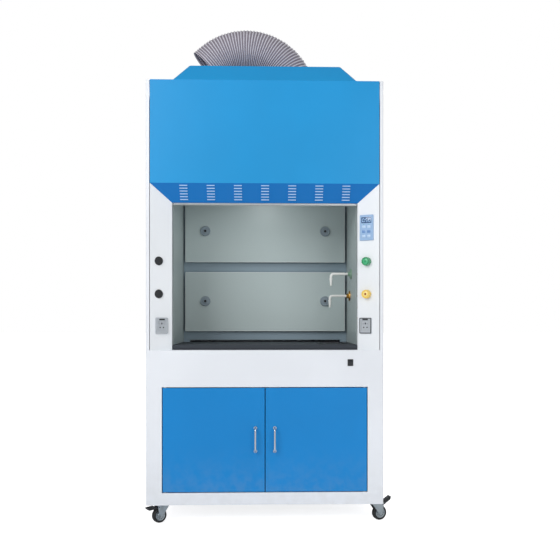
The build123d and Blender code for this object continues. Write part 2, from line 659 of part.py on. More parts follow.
with BuildPart() as column_plugs:
    for valve_z in (WATER_VALVE_Z, GAS_VALVE_Z):
        face = column_plane(-1, PLUG_ACROSS, valve_z).offset(SEAT_GAP)
        with BuildSketch(face):
            Circle(PLUG_R)
        extrude(amount=5, taper=20)
        with BuildSketch(face.offset(5)):
            Circle(PLUG_R - 7)
        extrude(amount=-1.5, mode=Mode.SUBTRACT)
        with BuildSketch(face):
            Circle(PLUG_NECK_R)
        extrude(amount=-9)
column_plugs.part.label = "column_plugs"
export_step(column_plugs.part, "parts/column_plugs.step")

PANEL_THICK = 7.0
KEY_ROWS = 3
KEY_COLUMNS = 2
KEY_PITCH = (28.0, 24.0)
with BuildPart() as control_panel:
    face = column_plane(1, PANEL_ACROSS, PANEL_Z).offset(SEAT_GAP)
    with BuildSketch(face):
        RectangleRounded(PANEL_WIDTH, PANEL_HEIGHT, 4)
    extrude(amount=PANEL_THICK)
    chamfer(control_panel.faces().sort_by(Axis(face.origin, face.z_dir))[-1].edges(), 1.5)
    with BuildSketch(face):
        Rectangle(PANEL_WIDTH - 14, PANEL_HEIGHT - 14)
    extrude(amount=-22)
    with BuildSketch(face.offset(PANEL_THICK)):
        with Locations((0, 38)):
            Rectangle(56, 30)
    extrude(amount=-2, mode=Mode.SUBTRACT)
    with BuildSketch(face.offset(PANEL_THICK)):
        with Locations((0, -20)):
            with GridLocations(*KEY_PITCH, KEY_COLUMNS, KEY_ROWS):
                RectangleRounded(20, 15, 3)
    extrude(amount=1)
control_panel.part.label = "control_panel"
export_step(control_panel.part, "parts/control_panel.step")

# Side panels: folded pans, open towards the inside of the body
for side, hand in ((-1, "left"), (1, "right")):
    with BuildPart() as side_panel:
        with BuildSketch(Plane.XY.offset(WORKTOP_UNDERSIDE)):
            with Locations((side * (SIDE_INNER + HALF_WIDTH) / 2, 0)):
                Rectangle(HALF_WIDTH - SIDE_INNER, BODY_DEPTH)
        extrude(amount=BODY_TOP - WORKTOP_UNDERSIDE)
        edges = side_panel.edges().filter_by(Axis.Z).sort_by(Axis.X)
        fillet(edges[-2:] if side > 0 else edges[:2], 5)
        inner = side_panel.faces().filter_by(Axis.X).sort_by(Axis.X)[0 if side > 0 else -1]
        offset(amount=-SHEET, openings=inner)
    side_panel.part.label = f"side_panel_{hand}"
    export_step(side_panel.part, f"parts/side_panel_{hand}.step")

# Rear panel with the inlet holes, and the roof panel with the exhaust hole
PANEL_FOLD = 15.0
INLET_Z = {"water": WORKTOP_TOP + 139.0, "gas": WORKTOP_TOP + 199.0}
WATER_SUPPLY_X = 562.0
VALVE_LENGTH = 46.0
valve_x = column_plane(1, VALVE_ACROSS, 0).offset(-SHEET - SEAT_GAP - VALVE_LENGTH / 2).origin.X
with BuildPart() as rear_panel:
    with BuildSketch(at_depth(BODY_DEPTH)):
        with Locations((0, (WORKTOP_UNDERSIDE + ROOF_TOP) / 2)):
            Rectangle(2 * (SIDE_INNER - SEAM), ROOF_TOP - WORKTOP_UNDERSIDE)
    extrude(amount=PANEL_FOLD)
    offset(amount=-SHEET, openings=rear_panel.faces().sort_by(Axis.Y)[0])
    with BuildSketch(at_depth(BODY_DEPTH + 1)):
        with Locations((WATER_SUPPLY_X, INLET_Z["water"]), (valve_x, INLET_Z["gas"])):
            Circle(INLET_R + 1)
    extrude(amount=2 * PANEL_FOLD, mode=Mode.SUBTRACT)
rear_panel.part.label = "rear_panel"
export_step(rear_panel.part, "parts/rear_panel.step")

ROOF_FRONT = 16.0
with BuildPart() as roof_panel:
    with BuildSketch(Plane.XY.offset(ROOF_TOP)):
        with Locations((0, (ROOF_FRONT - SEAM) / 2)):
            Rectangle(2 * (SIDE_INNER - SEAM), BODY_DEPTH - ROOF_FRONT - SEAM)
        with Locations((COLLAR_X, FAN_Y)):
            Circle(DUCT_R - 4 * DUCT_WALL, mode=Mode.SUBTRACT)
    extrude(amount=ROOF_THICK)
roof_panel.part.label = "roof_panel"
export_step(roof_panel.part, "parts/roof_panel.step")

# Front cover: a folded front whose lower edge bends back as a louvred bevel
COVER_FLANGE = 15.0
COVER_LIP = 18.0
bevel = Plane(
    origin=(0, FRONT + SURROUND_DEPTH / 2, (COVER_BOTTOM + OPENING_TOP) / 2),
    x_dir=(1, 0, 0),
    z_dir=(0, -BEVEL_RISE, -SURROUND_DEPTH),
)
bevel_section = Plane(origin=bevel.origin, x_dir=bevel.y_dir, z_dir=(1, 0, 0))
with BuildPart() as front_cover:
    with BuildSketch(Plane.YZ.offset(-SURROUND_OUTER)):
        with BuildLine():
            Polyline(
                (FRONT + COVER_FLANGE, BODY_TOP),
                (FRONT, BODY_TOP),
                (FRONT, COVER_BOTTOM),
                (FRONT + SURROUND_DEPTH, OPENING_TOP),
                (FRONT + SURROUND_DEPTH, OPENING_TOP + COVER_LIP),
            )
            offset(amount=COVER_SKIN, side=Side.LEFT, kind=Kind.INTERSECTION)
        make_face()
    extrude(amount=2 * SURROUND_OUTER)
    with BuildSketch(at_depth(-1)):
        for side in (-1, 1):
            with BuildLine():
                Polyline(
                    (side * (SURROUND_OUTER + 1), COVER_BOTTOM),
                    (side * SURROUND_OUTER, COVER_BOTTOM),
                    (side * SURROUND_INNER, OPENING_TOP),
                    (side * SURROUND_INNER, OPENING_TOP - 1),
                    (side * (SURROUND_OUTER + 1), OPENING_TOP - 1),
                    close=True,
                )
            make_face()
    extrude(amount=-2 * SURROUND_DEPTH, mode=Mode.SUBTRACT)
    with BuildSketch(bevel):
        with Locations((0, LOUVRE_PITCH / 3)):
            with GridLocations(LOUVRE_PITCH_X, LOUVRE_PITCH, LOUVRE_GROUPS, LOUVRE_ROWS):
                Rectangle(LOUVRE_LENGTH, LOUVRE_SLOT)
    extrude(amount=-3 * COVER_SKIN, both=True, mode=Mode.SUBTRACT)
    for column_index in range(LOUVRE_GROUPS):
        group_x = (column_index - (LOUVRE_GROUPS - 1) / 2) * LOUVRE_PITCH_X
        with BuildSketch(bevel_section.offset(group_x - LOUVRE_LENGTH / 2)):
            for row in range(LOUVRE_ROWS):
                top = (row - (LOUVRE_ROWS - 1) / 2) * LOUVRE_PITCH + LOUVRE_PITCH / 3 + LOUVRE_SLOT / 2
                with BuildLine():
                    Polyline((top + 2, -1), (top + 2, 0), (top - LOUVRE_SLOT, LOUVRE_LIP + 1.2),
                             (top - LOUVRE_SLOT, LOUVRE_LIP), (top - 0.5, -1), close=True)
                make_face()
        extrude(amount=LOUVRE_LENGTH)
front_cover.part.label = "front_cover"
export_step(front_cover.part, "parts/front_cover.step")

# Top cover: a hipped shell that stands on the roof and on the front cover's flange
hip_base_z = BODY_TOP + SEAT_GAP
hip_y = FRONT + 2 + TOP_COVER_LENGTH / 2
skirt_front = FRONT + COVER_FLANGE + 2
skirt_rear = hip_y + TOP_COVER_LENGTH / 2
skirt_foot = ROOF_TOP + ROOF_THICK + SEAT_GAP
HIP_R = 18.0
TOP_EDGE_R = 8.0
with BuildPart() as top_cover:
    with BuildSketch(Plane.XY.offset(hip_base_z)):
        with Locations((0, hip_y)):
            Rectangle(TOP_COVER_WIDTH, TOP_COVER_LENGTH)
    extrude(amount=TOP_COVER_RISE, taper=degrees(atan(TOP_COVER_INSET / TOP_COVER_RISE)))
    hips = [edge for edge in top_cover.edges() if abs((edge % 0.5).Z) > 0.3]
    fillet(hips, HIP_R)
    fillet(top_cover.faces().sort_by(Axis.Z)[-1].edges(), TOP_EDGE_R)
    offset(amount=-COVER_SKIN, openings=top_cover.faces().sort_by(Axis.Z)[0])
    with BuildSketch(Plane.XY.offset(skirt_foot)):
        with Locations((0, (skirt_front + skirt_rear) / 2)):
            Rectangle(TOP_COVER_WIDTH - 2, skirt_rear - skirt_front - 1)
            Rectangle(TOP_COVER_WIDTH - 2 - 2 * COVER_SKIN, skirt_rear - skirt_front - 1 - 2 * COVER_SKIN,
                      mode=Mode.SUBTRACT)
    extrude(amount=hip_base_z + 3 - skirt_foot)
top_cover.part.label = "top_cover"
export_step(top_cover.part, "parts/top_cover.step")

# Work chamber: side liners, ceiling, plenum plate and two baffle boards
LAMP_LENGTH = 600.0
LAMP_WIDTH = 110.0
LAMP_DEPTH = 240.0
SUCTION_LENGTH = 500.0
for side, hand in ((-1, "left"), (1, "right")):
    with BuildPart() as liner:
        with BuildSketch(Plane.YZ.offset(side * LINER_INNER)):
            middle_y = FRONT + (LINER_FRONT + LINER_REAR) / 2
            with Locations((middle_y, (WORKTOP_TOP - REBATE + CEILING_UNDERSIDE) / 2)):
                Rectangle(LINER_REAR - LINER_FRONT, CEILING_UNDERSIDE - WORKTOP_TOP + REBATE)
            if side > 0:
                with Locations(*[(FRONT + depth, z) for depth, z in (WATER_OUTLET, GAS_OUTLET)]):
                    Circle(PIPE_R + 1, mode=Mode.SUBTRACT)
        extrude(amount=side * LINER_THICK)
    liner.part.label = f"liner_{hand}"
    export_step(liner.part, f"parts/liner_{hand}.step")

suction_depth = (PLENUM_DEPTH + PLENUM_THICK + LINER_REAR) / 2
with BuildPart() as chamber_ceiling:
    with BuildSketch(Plane.XY.offset(CEILING_UNDERSIDE)):
        with Locations((0, FRONT + (LINER_FRONT + LINER_REAR) / 2)):
            Rectangle(2 * LINER_OUTER, LINER_REAR - LINER_FRONT)
        with Locations((0, FRONT + LAMP_DEPTH)):
            Rectangle(LAMP_LENGTH, LAMP_WIDTH, mode=Mode.SUBTRACT)
        with Locations((FAN_X, FRONT + suction_depth)):
            Rectangle(SUCTION_LENGTH, LINER_REAR - PLENUM_DEPTH - 40, mode=Mode.SUBTRACT)
    extrude(amount=CEILING_THICK)
chamber_ceiling.part.label = "chamber_ceiling"
export_step(chamber_ceiling.part, "parts/chamber_ceiling.step")

SLOT_LENGTH = 2 * (LINER_INNER - 38.0)
MIDDLE_SLOT_LENGTH = 2 * (STANDOFF_X - 61.0)
SLOT_HEIGHT = 12.0
with BuildPart() as plenum_plate:
    with BuildSketch(at_depth(PLENUM_DEPTH)):
        with Locations((0, (WORKTOP_TOP + CEILING_UNDERSIDE) / 2)):
            Rectangle(2 * (LINER_INNER - SEAM), CEILING_UNDERSIDE - WORKTOP_TOP)
        with Locations((0, WORKTOP_TOP)):
            Rectangle(SLOT_LENGTH, 2 * SLOT_HEIGHT, mode=Mode.SUBTRACT)
        for z in STANDOFF_Z:
            with Locations((0, z)):
                Rectangle(MIDDLE_SLOT_LENGTH, 2 * SLOT_HEIGHT, mode=Mode.SUBTRACT)
                with GridLocations(2 * STANDOFF_X, 1, 2, 1):
                    Circle(STUD_R + SEAT_GAP, mode=Mode.SUBTRACT)
    extrude(amount=-PLENUM_THICK)
plenum_plate.part.label = "plenum_plate"
export_step(plenum_plate.part, "parts/plenum_plate.step")

with BuildPart() as baffle_boards:
    with BuildSketch(at_depth(BOARD_DEPTH)):
        for bottom, stud_z in zip(BOARD_BOTTOMS, STANDOFF_Z):
            with Locations((0, bottom + BOARD_HEIGHT / 2)):
                RectangleRounded(BOARD_WIDTH, BOARD_HEIGHT, 4)
            with Locations((-STANDOFF_X, stud_z), (STANDOFF_X, stud_z)):
                Circle(STUD_R + SEAT_GAP, mode=Mode.SUBTRACT)
    extrude(amount=-BOARD_THICK)
baffle_boards.part.label = "baffle_boards"
export_step(baffle_boards.part, "parts/baffle_boards.step")

# Each board hangs on two studs with a round cap in front and a spacer behind
CAP_THICK = 12.0
with BuildPart() as baffle_standoffs:
    for z in STANDOFF_Z:
        for side in (-1, 1):
            stud_x = side * STANDOFF_X
            with BuildSketch(at_depth(BOARD_DEPTH - SEAT_GAP)):
                with Locations((stud_x, z)):
                    Circle(STANDOFF_R)
            extrude(amount=CAP_THICK, taper=14)
            with BuildSketch(at_depth(BOARD_DEPTH - SEAT_GAP)):
                with Locations((stud_x, z)):
                    Circle(STUD_R)
            extrude(amount=-(PLENUM_DEPTH + PLENUM_THICK - BOARD_DEPTH + 8))
            with BuildSketch(at_depth(BOARD_DEPTH + BOARD_THICK)):
                with Locations((stud_x, z)):
                    Circle(2 * STUD_R)
                    Circle(STUD_R + SEAT_GAP, mode=Mode.SUBTRACT)
            extrude(amount=-(PLENUM_DEPTH - BOARD_DEPTH - BOARD_THICK))
baffle_standoffs.part.label = "baffle_standoffs"
export_step(baffle_standoffs.part, "parts/baffle_standoffs.step")

# Lamp above the ceiling window: a housing open downwards and a tube between its ends
LAMP_HEIGHT = 60.0
LAMP_WALL = 2.0
TUBE_R = 13.0
with BuildPart() as ceiling_light:
    lamp_base = Plane.XY.offset(CEILING_UNDERSIDE + CEILING_THICK)
    with BuildSketch(lamp_base):
        with Locations((0, FRONT + LAMP_DEPTH)):
            Rectangle(LAMP_LENGTH + 30, LAMP_WIDTH + 30)
    extrude(amount=LAMP_HEIGHT, taper=8)
    offset(amount=-LAMP_WALL, openings=ceiling_light.faces().sort_by(Axis.Z)[0])
    with BuildSketch(Plane.YZ.offset(-LAMP_LENGTH / 2 + 8)):
        with Locations((FRONT + LAMP_DEPTH, CEILING_UNDERSIDE + LAMP_HEIGHT / 2)):
            Circle(TUBE_R)
    extrude(amount=LAMP_LENGTH - 16)
    with BuildSketch(Plane.XY.offset(CEILING_UNDERSIDE + LAMP_HEIGHT / 2)):
        with Locations((0, FRONT + LAMP_DEPTH)):
            with GridLocations(LAMP_LENGTH - 10, 1, 2, 1):
                Rectangle(14, 2 * TUBE_R + 4)
    extrude(amount=LAMP_HEIGHT / 2 + 3)
ceiling_light.part.label = "ceiling_light"
export_step(ceiling_light.part, "parts/ceiling_light.step")

# Sash: two framed panes that slide in one pair of tracks
HANDLE_LIP = 10.0
SASH_TOP = SASH_BOTTOM + SASH_HEIGHT
for name, depth in (("lower", SASH_DEPTH), ("upper", SASH_DEPTH + SASH_STEP)):
    middle = (0, SASH_BOTTOM + SASH_HEIGHT / 2)
    pane_width = 2 * (SASH_HALF_WIDTH - SASH_STILE)
    pane_height = SASH_HEIGHT - 2 * SASH_RAIL
    with BuildPart() as sash_frame:
        with BuildSketch(at_depth(depth - SASH_THICK / 2)):
            with Locations(middle):
                Rectangle(2 * SASH_HALF_WIDTH, SASH_HEIGHT)
                Rectangle(pane_width, pane_height, mode=Mode.SUBTRACT)
        extrude(amount=-SASH_THICK)
        if name == "lower":
            with BuildSketch(at_depth(depth - SASH_THICK / 2)):
                with Locations((0, SASH_BOTTOM + 6)):
                    Rectangle(2 * (SURROUND_INNER - 10), 8)
            extrude(amount=HANDLE_LIP)
            fillet(sash_frame.faces().sort_by(Axis.Y)[0].edges().filter_by(Axis.X), 2)
    sash_frame.part.label = f"sash_{name}_frame"
    export_step(sash_frame.part, f"parts/sash_{name}_frame.step")

    with BuildPart() as pane:
        with BuildSketch(at_depth(depth - GLASS_THICK / 2)):
            with Locations(middle):
                Rectangle(pane_width - 2 * SEAT_GAP, pane_height - 2 * SEAT_GAP)
        extrude(amount=-GLASS_THICK)
    pane.part.label = f"sash_{name}_glass"
    export_step(pane.part, f"parts/sash_{name}_glass.step")

# Tracks: two-groove channels whose webs run up as ears that carry the lift shaft
EAR_R = 26.0
rib_depths = [SASH_DEPTH - TRACK_GROOVE / 2 - TRACK_RIB, SASH_DEPTH + TRACK_GROOVE / 2,
              SASH_DEPTH + SASH_STEP + TRACK_GROOVE / 2]
rib_widths = [TRACK_RIB, SASH_STEP - TRACK_GROOVE, TRACK_RIB]
track_front = FRONT + rib_depths[0]
track_rear = FRONT + rib_depths[-1] + TRACK_RIB
with BuildPart() as sash_tracks:
    for side in (-1, 1):
        with BuildSketch(Plane.XY.offset(WORKTOP_UNDERSIDE)):
            with Locations((side * (TRACK_WEB_X + TRACK_WEB / 2), (track_front + track_rear) / 2)):
                Rectangle(TRACK_WEB, track_rear - track_front)
            for rib_depth, rib_width in zip(rib_depths, rib_widths):
                with Locations((side * (TRACK_INNER + TRACK_WEB_X) / 2, FRONT + rib_depth + rib_width / 2)):
                    Rectangle(TRACK_WEB_X - TRACK_INNER, rib_width)
        extrude(amount=TRACK_TOP - WORKTOP_UNDERSIDE)
        with BuildSketch(Plane.YZ.offset(side * TRACK_WEB_X)):
            with Locations((SHAFT_Y, SHAFT_Z)):
                Circle(EAR_R)
            with Locations(((track_front + track_rear) / 2, TRACK_TOP - 60)):
                Rectangle(track_rear - track_front, 20)
            make_hull()
            with Locations((SHAFT_Y, SHAFT_Z)):
                Circle(SHAFT_R + RUN_GAP, mode=Mode.SUBTRACT)
        extrude(amount=side * TRACK_WEB)
sash_tracks.part.label = "sash_tracks"
export_step(sash_tracks.part, "parts/sash_tracks.step")

# Lift shaft with a stepped spool at each end: the small drum winds half as much cable
SPOOL_FLANGE = 4.0
CABLE_SEAT = CABLE_R + 0.35
GEARBOX_LENGTH = 40.0
spool_inner = CABLE_X[0] - 7
spool_step = (CABLE_X[0] + CABLE_X[1]) / 2
spool_outer = CABLE_X[1] + 6.5
with BuildPart() as lift_shaft:
    with BuildSketch(Plane.XZ.offset(-SHAFT_Y)):
        with Locations((-GEARBOX_LENGTH / 4, SHAFT_Z + SHAFT_R / 2)):
            Rectangle(2 * TRACK_WEB_X + 2 * TRACK_WEB + GEARBOX_LENGTH / 2, SHAFT_R)
        for side in (-1, 1):
            with BuildLine():
                Polyline(
                    (side * spool_inner, SHAFT_Z),
                    (side * spool_inner, SHAFT_Z + SMALL_DRUM_R + SPOOL_FLANGE),
                    (side * (spool_inner + 2), SHAFT_Z + SMALL_DRUM_R + SPOOL_FLANGE),
                    (side * (spool_inner + 2), SHAFT_Z + SMALL_DRUM_R - CABLE_SEAT),
                    (side * (spool_step - 1), SHAFT_Z + SMALL_DRUM_R - CABLE_SEAT),
                    (side * (spool_step - 1), SHAFT_Z + LARGE_DRUM_R + SPOOL_FLANGE),
                    (side * (spool_step + 1), SHAFT_Z + LARGE_DRUM_R + SPOOL_FLANGE),
                    (side * (spool_step + 1), SHAFT_Z + LARGE_DRUM_R - CABLE_SEAT),
                    (side * (spool_outer - 2), SHAFT_Z + LARGE_DRUM_R - CABLE_SEAT),
                    (side * (spool_outer - 2), SHAFT_Z + LARGE_DRUM_R + SPOOL_FLANGE),
                    (side * spool_outer, SHAFT_Z + LARGE_DRUM_R + SPOOL_FLANGE),
                    (side * spool_outer, SHAFT_Z),
                    close=True,
                )
            make_face()
    revolve(axis=Axis((0, SHAFT_Y, SHAFT_Z), (1, 0, 0)))
lift_shaft.part.label = "lift_shaft"
export_step(lift_shaft.part, "parts/lift_shaft.step")

GEARBOX_HEIGHT = 90.0
GEARBOX_DEPTH = 70.0
SASH_MOTOR_R = 26.0
SASH_MOTOR_LENGTH = 130.0
gearbox_x = -(TRACK_WEB_X + TRACK_WEB + SEAT_GAP + GEARBOX_LENGTH / 2)
with BuildPart() as sash_gearmotor:
    with Locations((gearbox_x, SHAFT_Y, SHAFT_Z)):
        Box(GEARBOX_LENGTH, GEARBOX_DEPTH, GEARBOX_HEIGHT)
    fillet(sash_gearmotor.edges().filter_by(Axis.X), 8)
    with BuildSketch(Plane.XY.offset(SHAFT_Z - GEARBOX_HEIGHT / 2)):
        with Locations((gearbox_x - 8, SHAFT_Y)):
            Circle(SASH_MOTOR_R)
    extrude(amount=-SASH_MOTOR_LENGTH)
    fillet(sash_gearmotor.faces().sort_by(Axis.Z)[0].edges(), 4)
    with BuildSketch(Plane.YZ.offset(-TRACK_WEB_X)):
        with Locations((SHAFT_Y, SHAFT_Z)):
            Circle(SHAFT_R + RUN_GAP)
    extrude(amount=-(TRACK_WEB + GEARBOX_LENGTH / 2 + 2), mode=Mode.SUBTRACT)
sash_gearmotor.part.label = "sash_gearmotor"
export_step(sash_gearmotor.part, "parts/sash_gearmotor.step")

for name, depth, cable_x in (("lower", SASH_DEPTH, CABLE_X[1]), ("upper", SASH_DEPTH + SASH_STEP, CABLE_X[0])):
    with BuildPart() as cables:
        with BuildSketch(Plane.XY.offset(SASH_TOP)):
            with Locations((-cable_x, FRONT + depth), (cable_x, FRONT + depth)):
                Circle(CABLE_R)
        extrude(amount=SHAFT_Z - SASH_TOP)
    cables.part.label = f"{name}_sash_cables"
    export_step(cables.part, f"parts/{name}_sash_cables.step")

# Blower: a scroll of three quarter arcs that widens into the outlet duct
FOOT_WIDTH = 240.0
INLET_HOLE_R = 82.0
scroll = Plane(origin=(FAN_X, FAN_Y - FAN_WIDTH / 2, FAN_Z), x_dir=(1, 0, 0), z_dir=(0, -1, 0))
arc_x = SCROLL_RIGHT - SCROLL_R - 3 * SCROLL_STEP
arc_y = -SCROLL_STEP / 2
outlet_top = ROOF_TOP - SEAT_GAP - FAN_Z
CUTOFF_ANGLE = 66.0
foot_top = arc_y - SCROLL_R / 2
foot_bottom = CEILING_UNDERSIDE + CEILING_THICK + SEAT_GAP - FAN_Z
with BuildPart() as blower_housing:
    with BuildSketch(scroll):
        with BuildLine():
            tongue = CenterArc((arc_x, arc_y), SCROLL_R, CUTOFF_ANGLE, 180 - CUTOFF_ANGLE)
            CenterArc((arc_x + SCROLL_STEP, arc_y), SCROLL_R + SCROLL_STEP, 180, 90)
            wide = CenterArc((arc_x + SCROLL_STEP, arc_y + SCROLL_STEP), SCROLL_R + 2 * SCROLL_STEP, 270, 90)
            Polyline(wide @ 1, ((wide @ 1).X, outlet_top), ((tongue @ 0).X, outlet_top), tongue @ 0)
        make_face()
    extrude(amount=-FAN_WIDTH)
    offset(amount=-SCROLL_SKIN, openings=blower_housing.faces().sort_by(Axis.Z)[-1])
    with BuildSketch(scroll.offset(-FAN_WIDTH + SCROLL_SKIN)):
        Circle(INLET_HOLE_R)
    extrude(amount=-3 * SCROLL_SKIN, mode=Mode.SUBTRACT)
    with BuildSketch(scroll):
        Circle(FAN_SHAFT_R + 2)
    extrude(amount=-2 * SCROLL_SKIN, mode=Mode.SUBTRACT)
    for face_offset in (0, -FAN_WIDTH - SCROLL_SKIN):
        with BuildSketch(scroll.offset(face_offset)):
            with Locations((arc_x + SCROLL_STEP, (foot_top + foot_bottom) / 2)):
                Rectangle(FOOT_WIDTH, foot_top - foot_bottom)
            with Locations((0, 0)):
                Circle(INLET_HOLE_R, mode=Mode.SUBTRACT)
        extrude(amount=SCROLL_SKIN)
blower_housing.part.label = "blower_housing"
export_step(blower_housing.part, "parts/blower_housing.step")

with BuildSketch() as blade:
    with BuildLine():
        inner_r = IMPELLER_R - BLADE_DEPTH
        ends = []
        for shift in (0, BLADE_THICK):
            ends.append(ThreePointArc((inner_r + 1, shift), (inner_r + BLADE_DEPTH / 2, shift - 4),
                                      (IMPELLER_R - 1.5, shift + 3)))
        Line(ends[0] @ 0, ends[1] @ 0)
        Line(ends[0] @ 1, ends[1] @ 1)
    make_face()
impeller_front = IMPELLER_WIDTH / 2
with BuildPart() as impeller:
    axis_plane = scroll.offset(-FAN_WIDTH / 2)
    with BuildSketch(axis_plane.offset(impeller_front)):
        Circle(IMPELLER_R)
    extrude(amount=-BLADE_THICK)
    with BuildSketch(axis_plane.offset(impeller_front - BLADE_THICK)):
        with PolarLocations(0, BLADE_COUNT):
            add(blade.sketch)
    extrude(amount=-(IMPELLER_WIDTH - 2 * BLADE_THICK))
    with BuildSketch(axis_plane.offset(-impeller_front)):
        Circle(IMPELLER_R)
        Circle(IMPELLER_R - BLADE_DEPTH, mode=Mode.SUBTRACT)
    extrude(amount=BLADE_THICK)
    with BuildSketch(axis_plane.offset(impeller_front)):
        Circle(2.2 * FAN_SHAFT_R)
    extrude(amount=-30)
    with BuildSketch(axis_plane.offset(impeller_front)):
        Circle(FAN_SHAFT_R)
    extrude(amount=(FAN_WIDTH - IMPELLER_WIDTH) / 2 + MOTOR_LENGTH / 2)
impeller.part.label = "blower_impeller"
export_step(impeller.part, "parts/blower_impeller.step")

FIN_COUNT = 12
with BuildPart() as blower_motor:
    with BuildSketch(scroll.offset(SEAT_GAP)):
        Circle(MOTOR_R + 10)
    extrude(amount=6)
    with BuildSketch(scroll.offset(SEAT_GAP)):
        Circle(MOTOR_R - 6)
        with PolarLocations(MOTOR_R - 6, FIN_COUNT):
            Rectangle(12, 4)
    extrude(amount=MOTOR_LENGTH - 30)
    with BuildSketch(scroll.offset(MOTOR_LENGTH - 30)):
        Circle(MOTOR_R)
    extrude(amount=30, taper=10)
    with BuildSketch(scroll):
        Circle(FAN_SHAFT_R + RUN_GAP)
    extrude(amount=MOTOR_LENGTH / 2 + 4, mode=Mode.SUBTRACT)
blower_motor.part.label = "blower_motor"
export_step(blower_motor.part, "parts/blower_motor.step")

# Exhaust collar on the roof, the flexible duct with a cuff at each end, and its clamp
COLLAR_R = DUCT_R - DUCT_WALL - SEAT_GAP
roof_z = ROOF_TOP + ROOF_THICK
with BuildPart() as exhaust_collar:
    with BuildSketch(Plane.XY.offset(roof_z)):
        with Locations((COLLAR_X, FAN_Y)):
            RectangleRounded(2 * DUCT_R + 26, 2 * DUCT_R + 26, 10)
            Circle(COLLAR_R - COLLAR_WALL, mode=Mode.SUBTRACT)
    extrude(amount=COLLAR_WALL)
    with BuildSketch(Plane.XY.offset(roof_z)):
        with Locations((COLLAR_X, FAN_Y)):
            Circle(COLLAR_R)
            Circle(COLLAR_R - COLLAR_WALL, mode=Mode.SUBTRACT)
    extrude(amount=DUCT_ARC_Z - roof_z)
exhaust_collar.part.label = "exhaust_collar"
export_step(exhaust_collar.part, "parts/exhaust_collar.step")

duct_foot = roof_z + COLLAR_WALL + SEAT_GAP
duct_plane = Plane(origin=(COLLAR_X - DUCT_BEND, FAN_Y, DUCT_ARC_Z), x_dir=(1, 0, 0), z_dir=(0, -1, 0))
with BuildPart() as flexible_duct:
    with BuildLine(duct_plane) as bend:
        CenterArc((0, 0), DUCT_BEND, 0, DUCT_ARC)
    foot_plane = Plane.XY.offset(duct_foot) * Pos(COLLAR_X, FAN_Y)
    bend_plane = Plane(origin=bend.line @ 0, z_dir=bend.line % 0)
    mouth_plane = Plane(origin=bend.line @ 1, z_dir=bend.line % 1).offset(SEAT_GAP)
    for cuff_plane, cuff_length in ((foot_plane, DUCT_ARC_Z - SEAT_GAP - duct_foot),
                                    (mouth_plane, DUCT_CUFF_LENGTH - SEAT_GAP)):
        with BuildSketch(cuff_plane):
            Circle(DUCT_R)
            Circle(DUCT_R - DUCT_WALL, mode=Mode.SUBTRACT)
        extrude(amount=cuff_length)
    with BuildSketch(bend_plane):
        Circle(DUCT_R)
        Circle(DUCT_R - DUCT_WALL, mode=Mode.SUBTRACT)
    sweep(path=bend.line)
flexible_duct.part.label = "flexible_duct"
export_step(flexible_duct.part, "parts/flexible_duct.step")

CLAMP_BAND = 12.0
CLAMP_THICK = 1.5
clamp_z = duct_foot + 14
with BuildPart() as duct_clamp:
    with BuildSketch(Plane.XY.offset(clamp_z)):
        with Locations((COLLAR_X, FAN_Y)):
            Circle(DUCT_R + SEAT_GAP + CLAMP_THICK)
            Circle(DUCT_R + SEAT_GAP, mode=Mode.SUBTRACT)
    extrude(amount=CLAMP_BAND)
    with Locations((COLLAR_X, FAN_Y + DUCT_R + SEAT_GAP + 6, clamp_z + CLAMP_BAND / 2)):
        Box(30, 11, CLAMP_BAND + 2)
duct_clamp.part.label = "duct_clamp"
export_step(duct_clamp.part, "parts/duct_clamp.step")

# Services: remote valves behind the right column, their pipes, and the wall outlets
VALVE_R = 15.0
PIPE_BEND = 12.0
SPINDLE_REACH = 20.0
with BuildPart() as service_lines:
    for kind, valve_z in (("water", WATER_VALVE_Z), ("gas", GAS_VALVE_Z)):
        face = column_plane(1, VALVE_ACROSS, valve_z)
        middle = face.offset(-SHEET - SEAT_GAP - VALVE_LENGTH / 2).origin
        x, y = middle.X, middle.Y
        with BuildSketch(face.offset(-SHEET - SEAT_GAP)):
            Circle(VALVE_R)
        extrude(amount=-VALVE_LENGTH)
        with BuildSketch(face.offset(-SEAT_GAP)):
            Circle(2 * SPINDLE_R - SEAT_GAP)
        extrude(amount=-VALVE_LENGTH / 2)
        supply_x = WATER_SUPPLY_X if kind == "water" else x
        supply = [(x, y, valve_z), (x, y, INLET_Z[kind]), (x, REAR + INLET_REACH, INLET_Z[kind])]
        if kind == "water":
            turn_z = valve_z - 4 * VALVE_R
            supply = [(x, y, valve_z), (x, y, turn_z), (supply_x, y, turn_z), (supply_x, y, INLET_Z[kind]),
                      (supply_x, REAR + INLET_REACH, INLET_Z[kind])]
        outlet_depth, outlet_z = WATER_OUTLET if kind == "water" else GAS_OUTLET
        feed_z = valve_z + 3 * VALVE_R
        feed = [(x, y, valve_z), (x, y, feed_z), (x, FRONT + outlet_depth, feed_z),
                (x, FRONT + outlet_depth, outlet_z), (LINER_OUTER + SEAT_GAP, FRONT + outlet_depth, outlet_z)]
        for route in (supply, feed):
            with BuildLine() as pipe:
                FilletPolyline(*route, radius=PIPE_BEND)
            with BuildSketch(Plane(origin=pipe.line @ 0, z_dir=pipe.line % 0)):
                Circle(PIPE_R)
            sweep(path=pipe.line)
        with BuildSketch(at_depth(BODY_DEPTH + INLET_REACH)):
            with Locations((supply_x, INLET_Z[kind])):
                Circle(INLET_R)
        extrude(amount=INLET_REACH + PANEL_FOLD)
        with BuildSketch(at_depth(BODY_DEPTH + SEAT_GAP)):
            with Locations((supply_x, INLET_Z[kind])):
                RegularPolygon(1.6 * INLET_R, 6)
        extrude(amount=-INLET_NUT)
        with BuildSketch(face):
            Circle(SPINDLE_R + RUN_GAP)
        extrude(amount=-SPINDLE_REACH - 1, mode=Mode.SUBTRACT)
service_lines.part.label = "service_lines"
export_step(service_lines.part, "parts/service_lines.step")

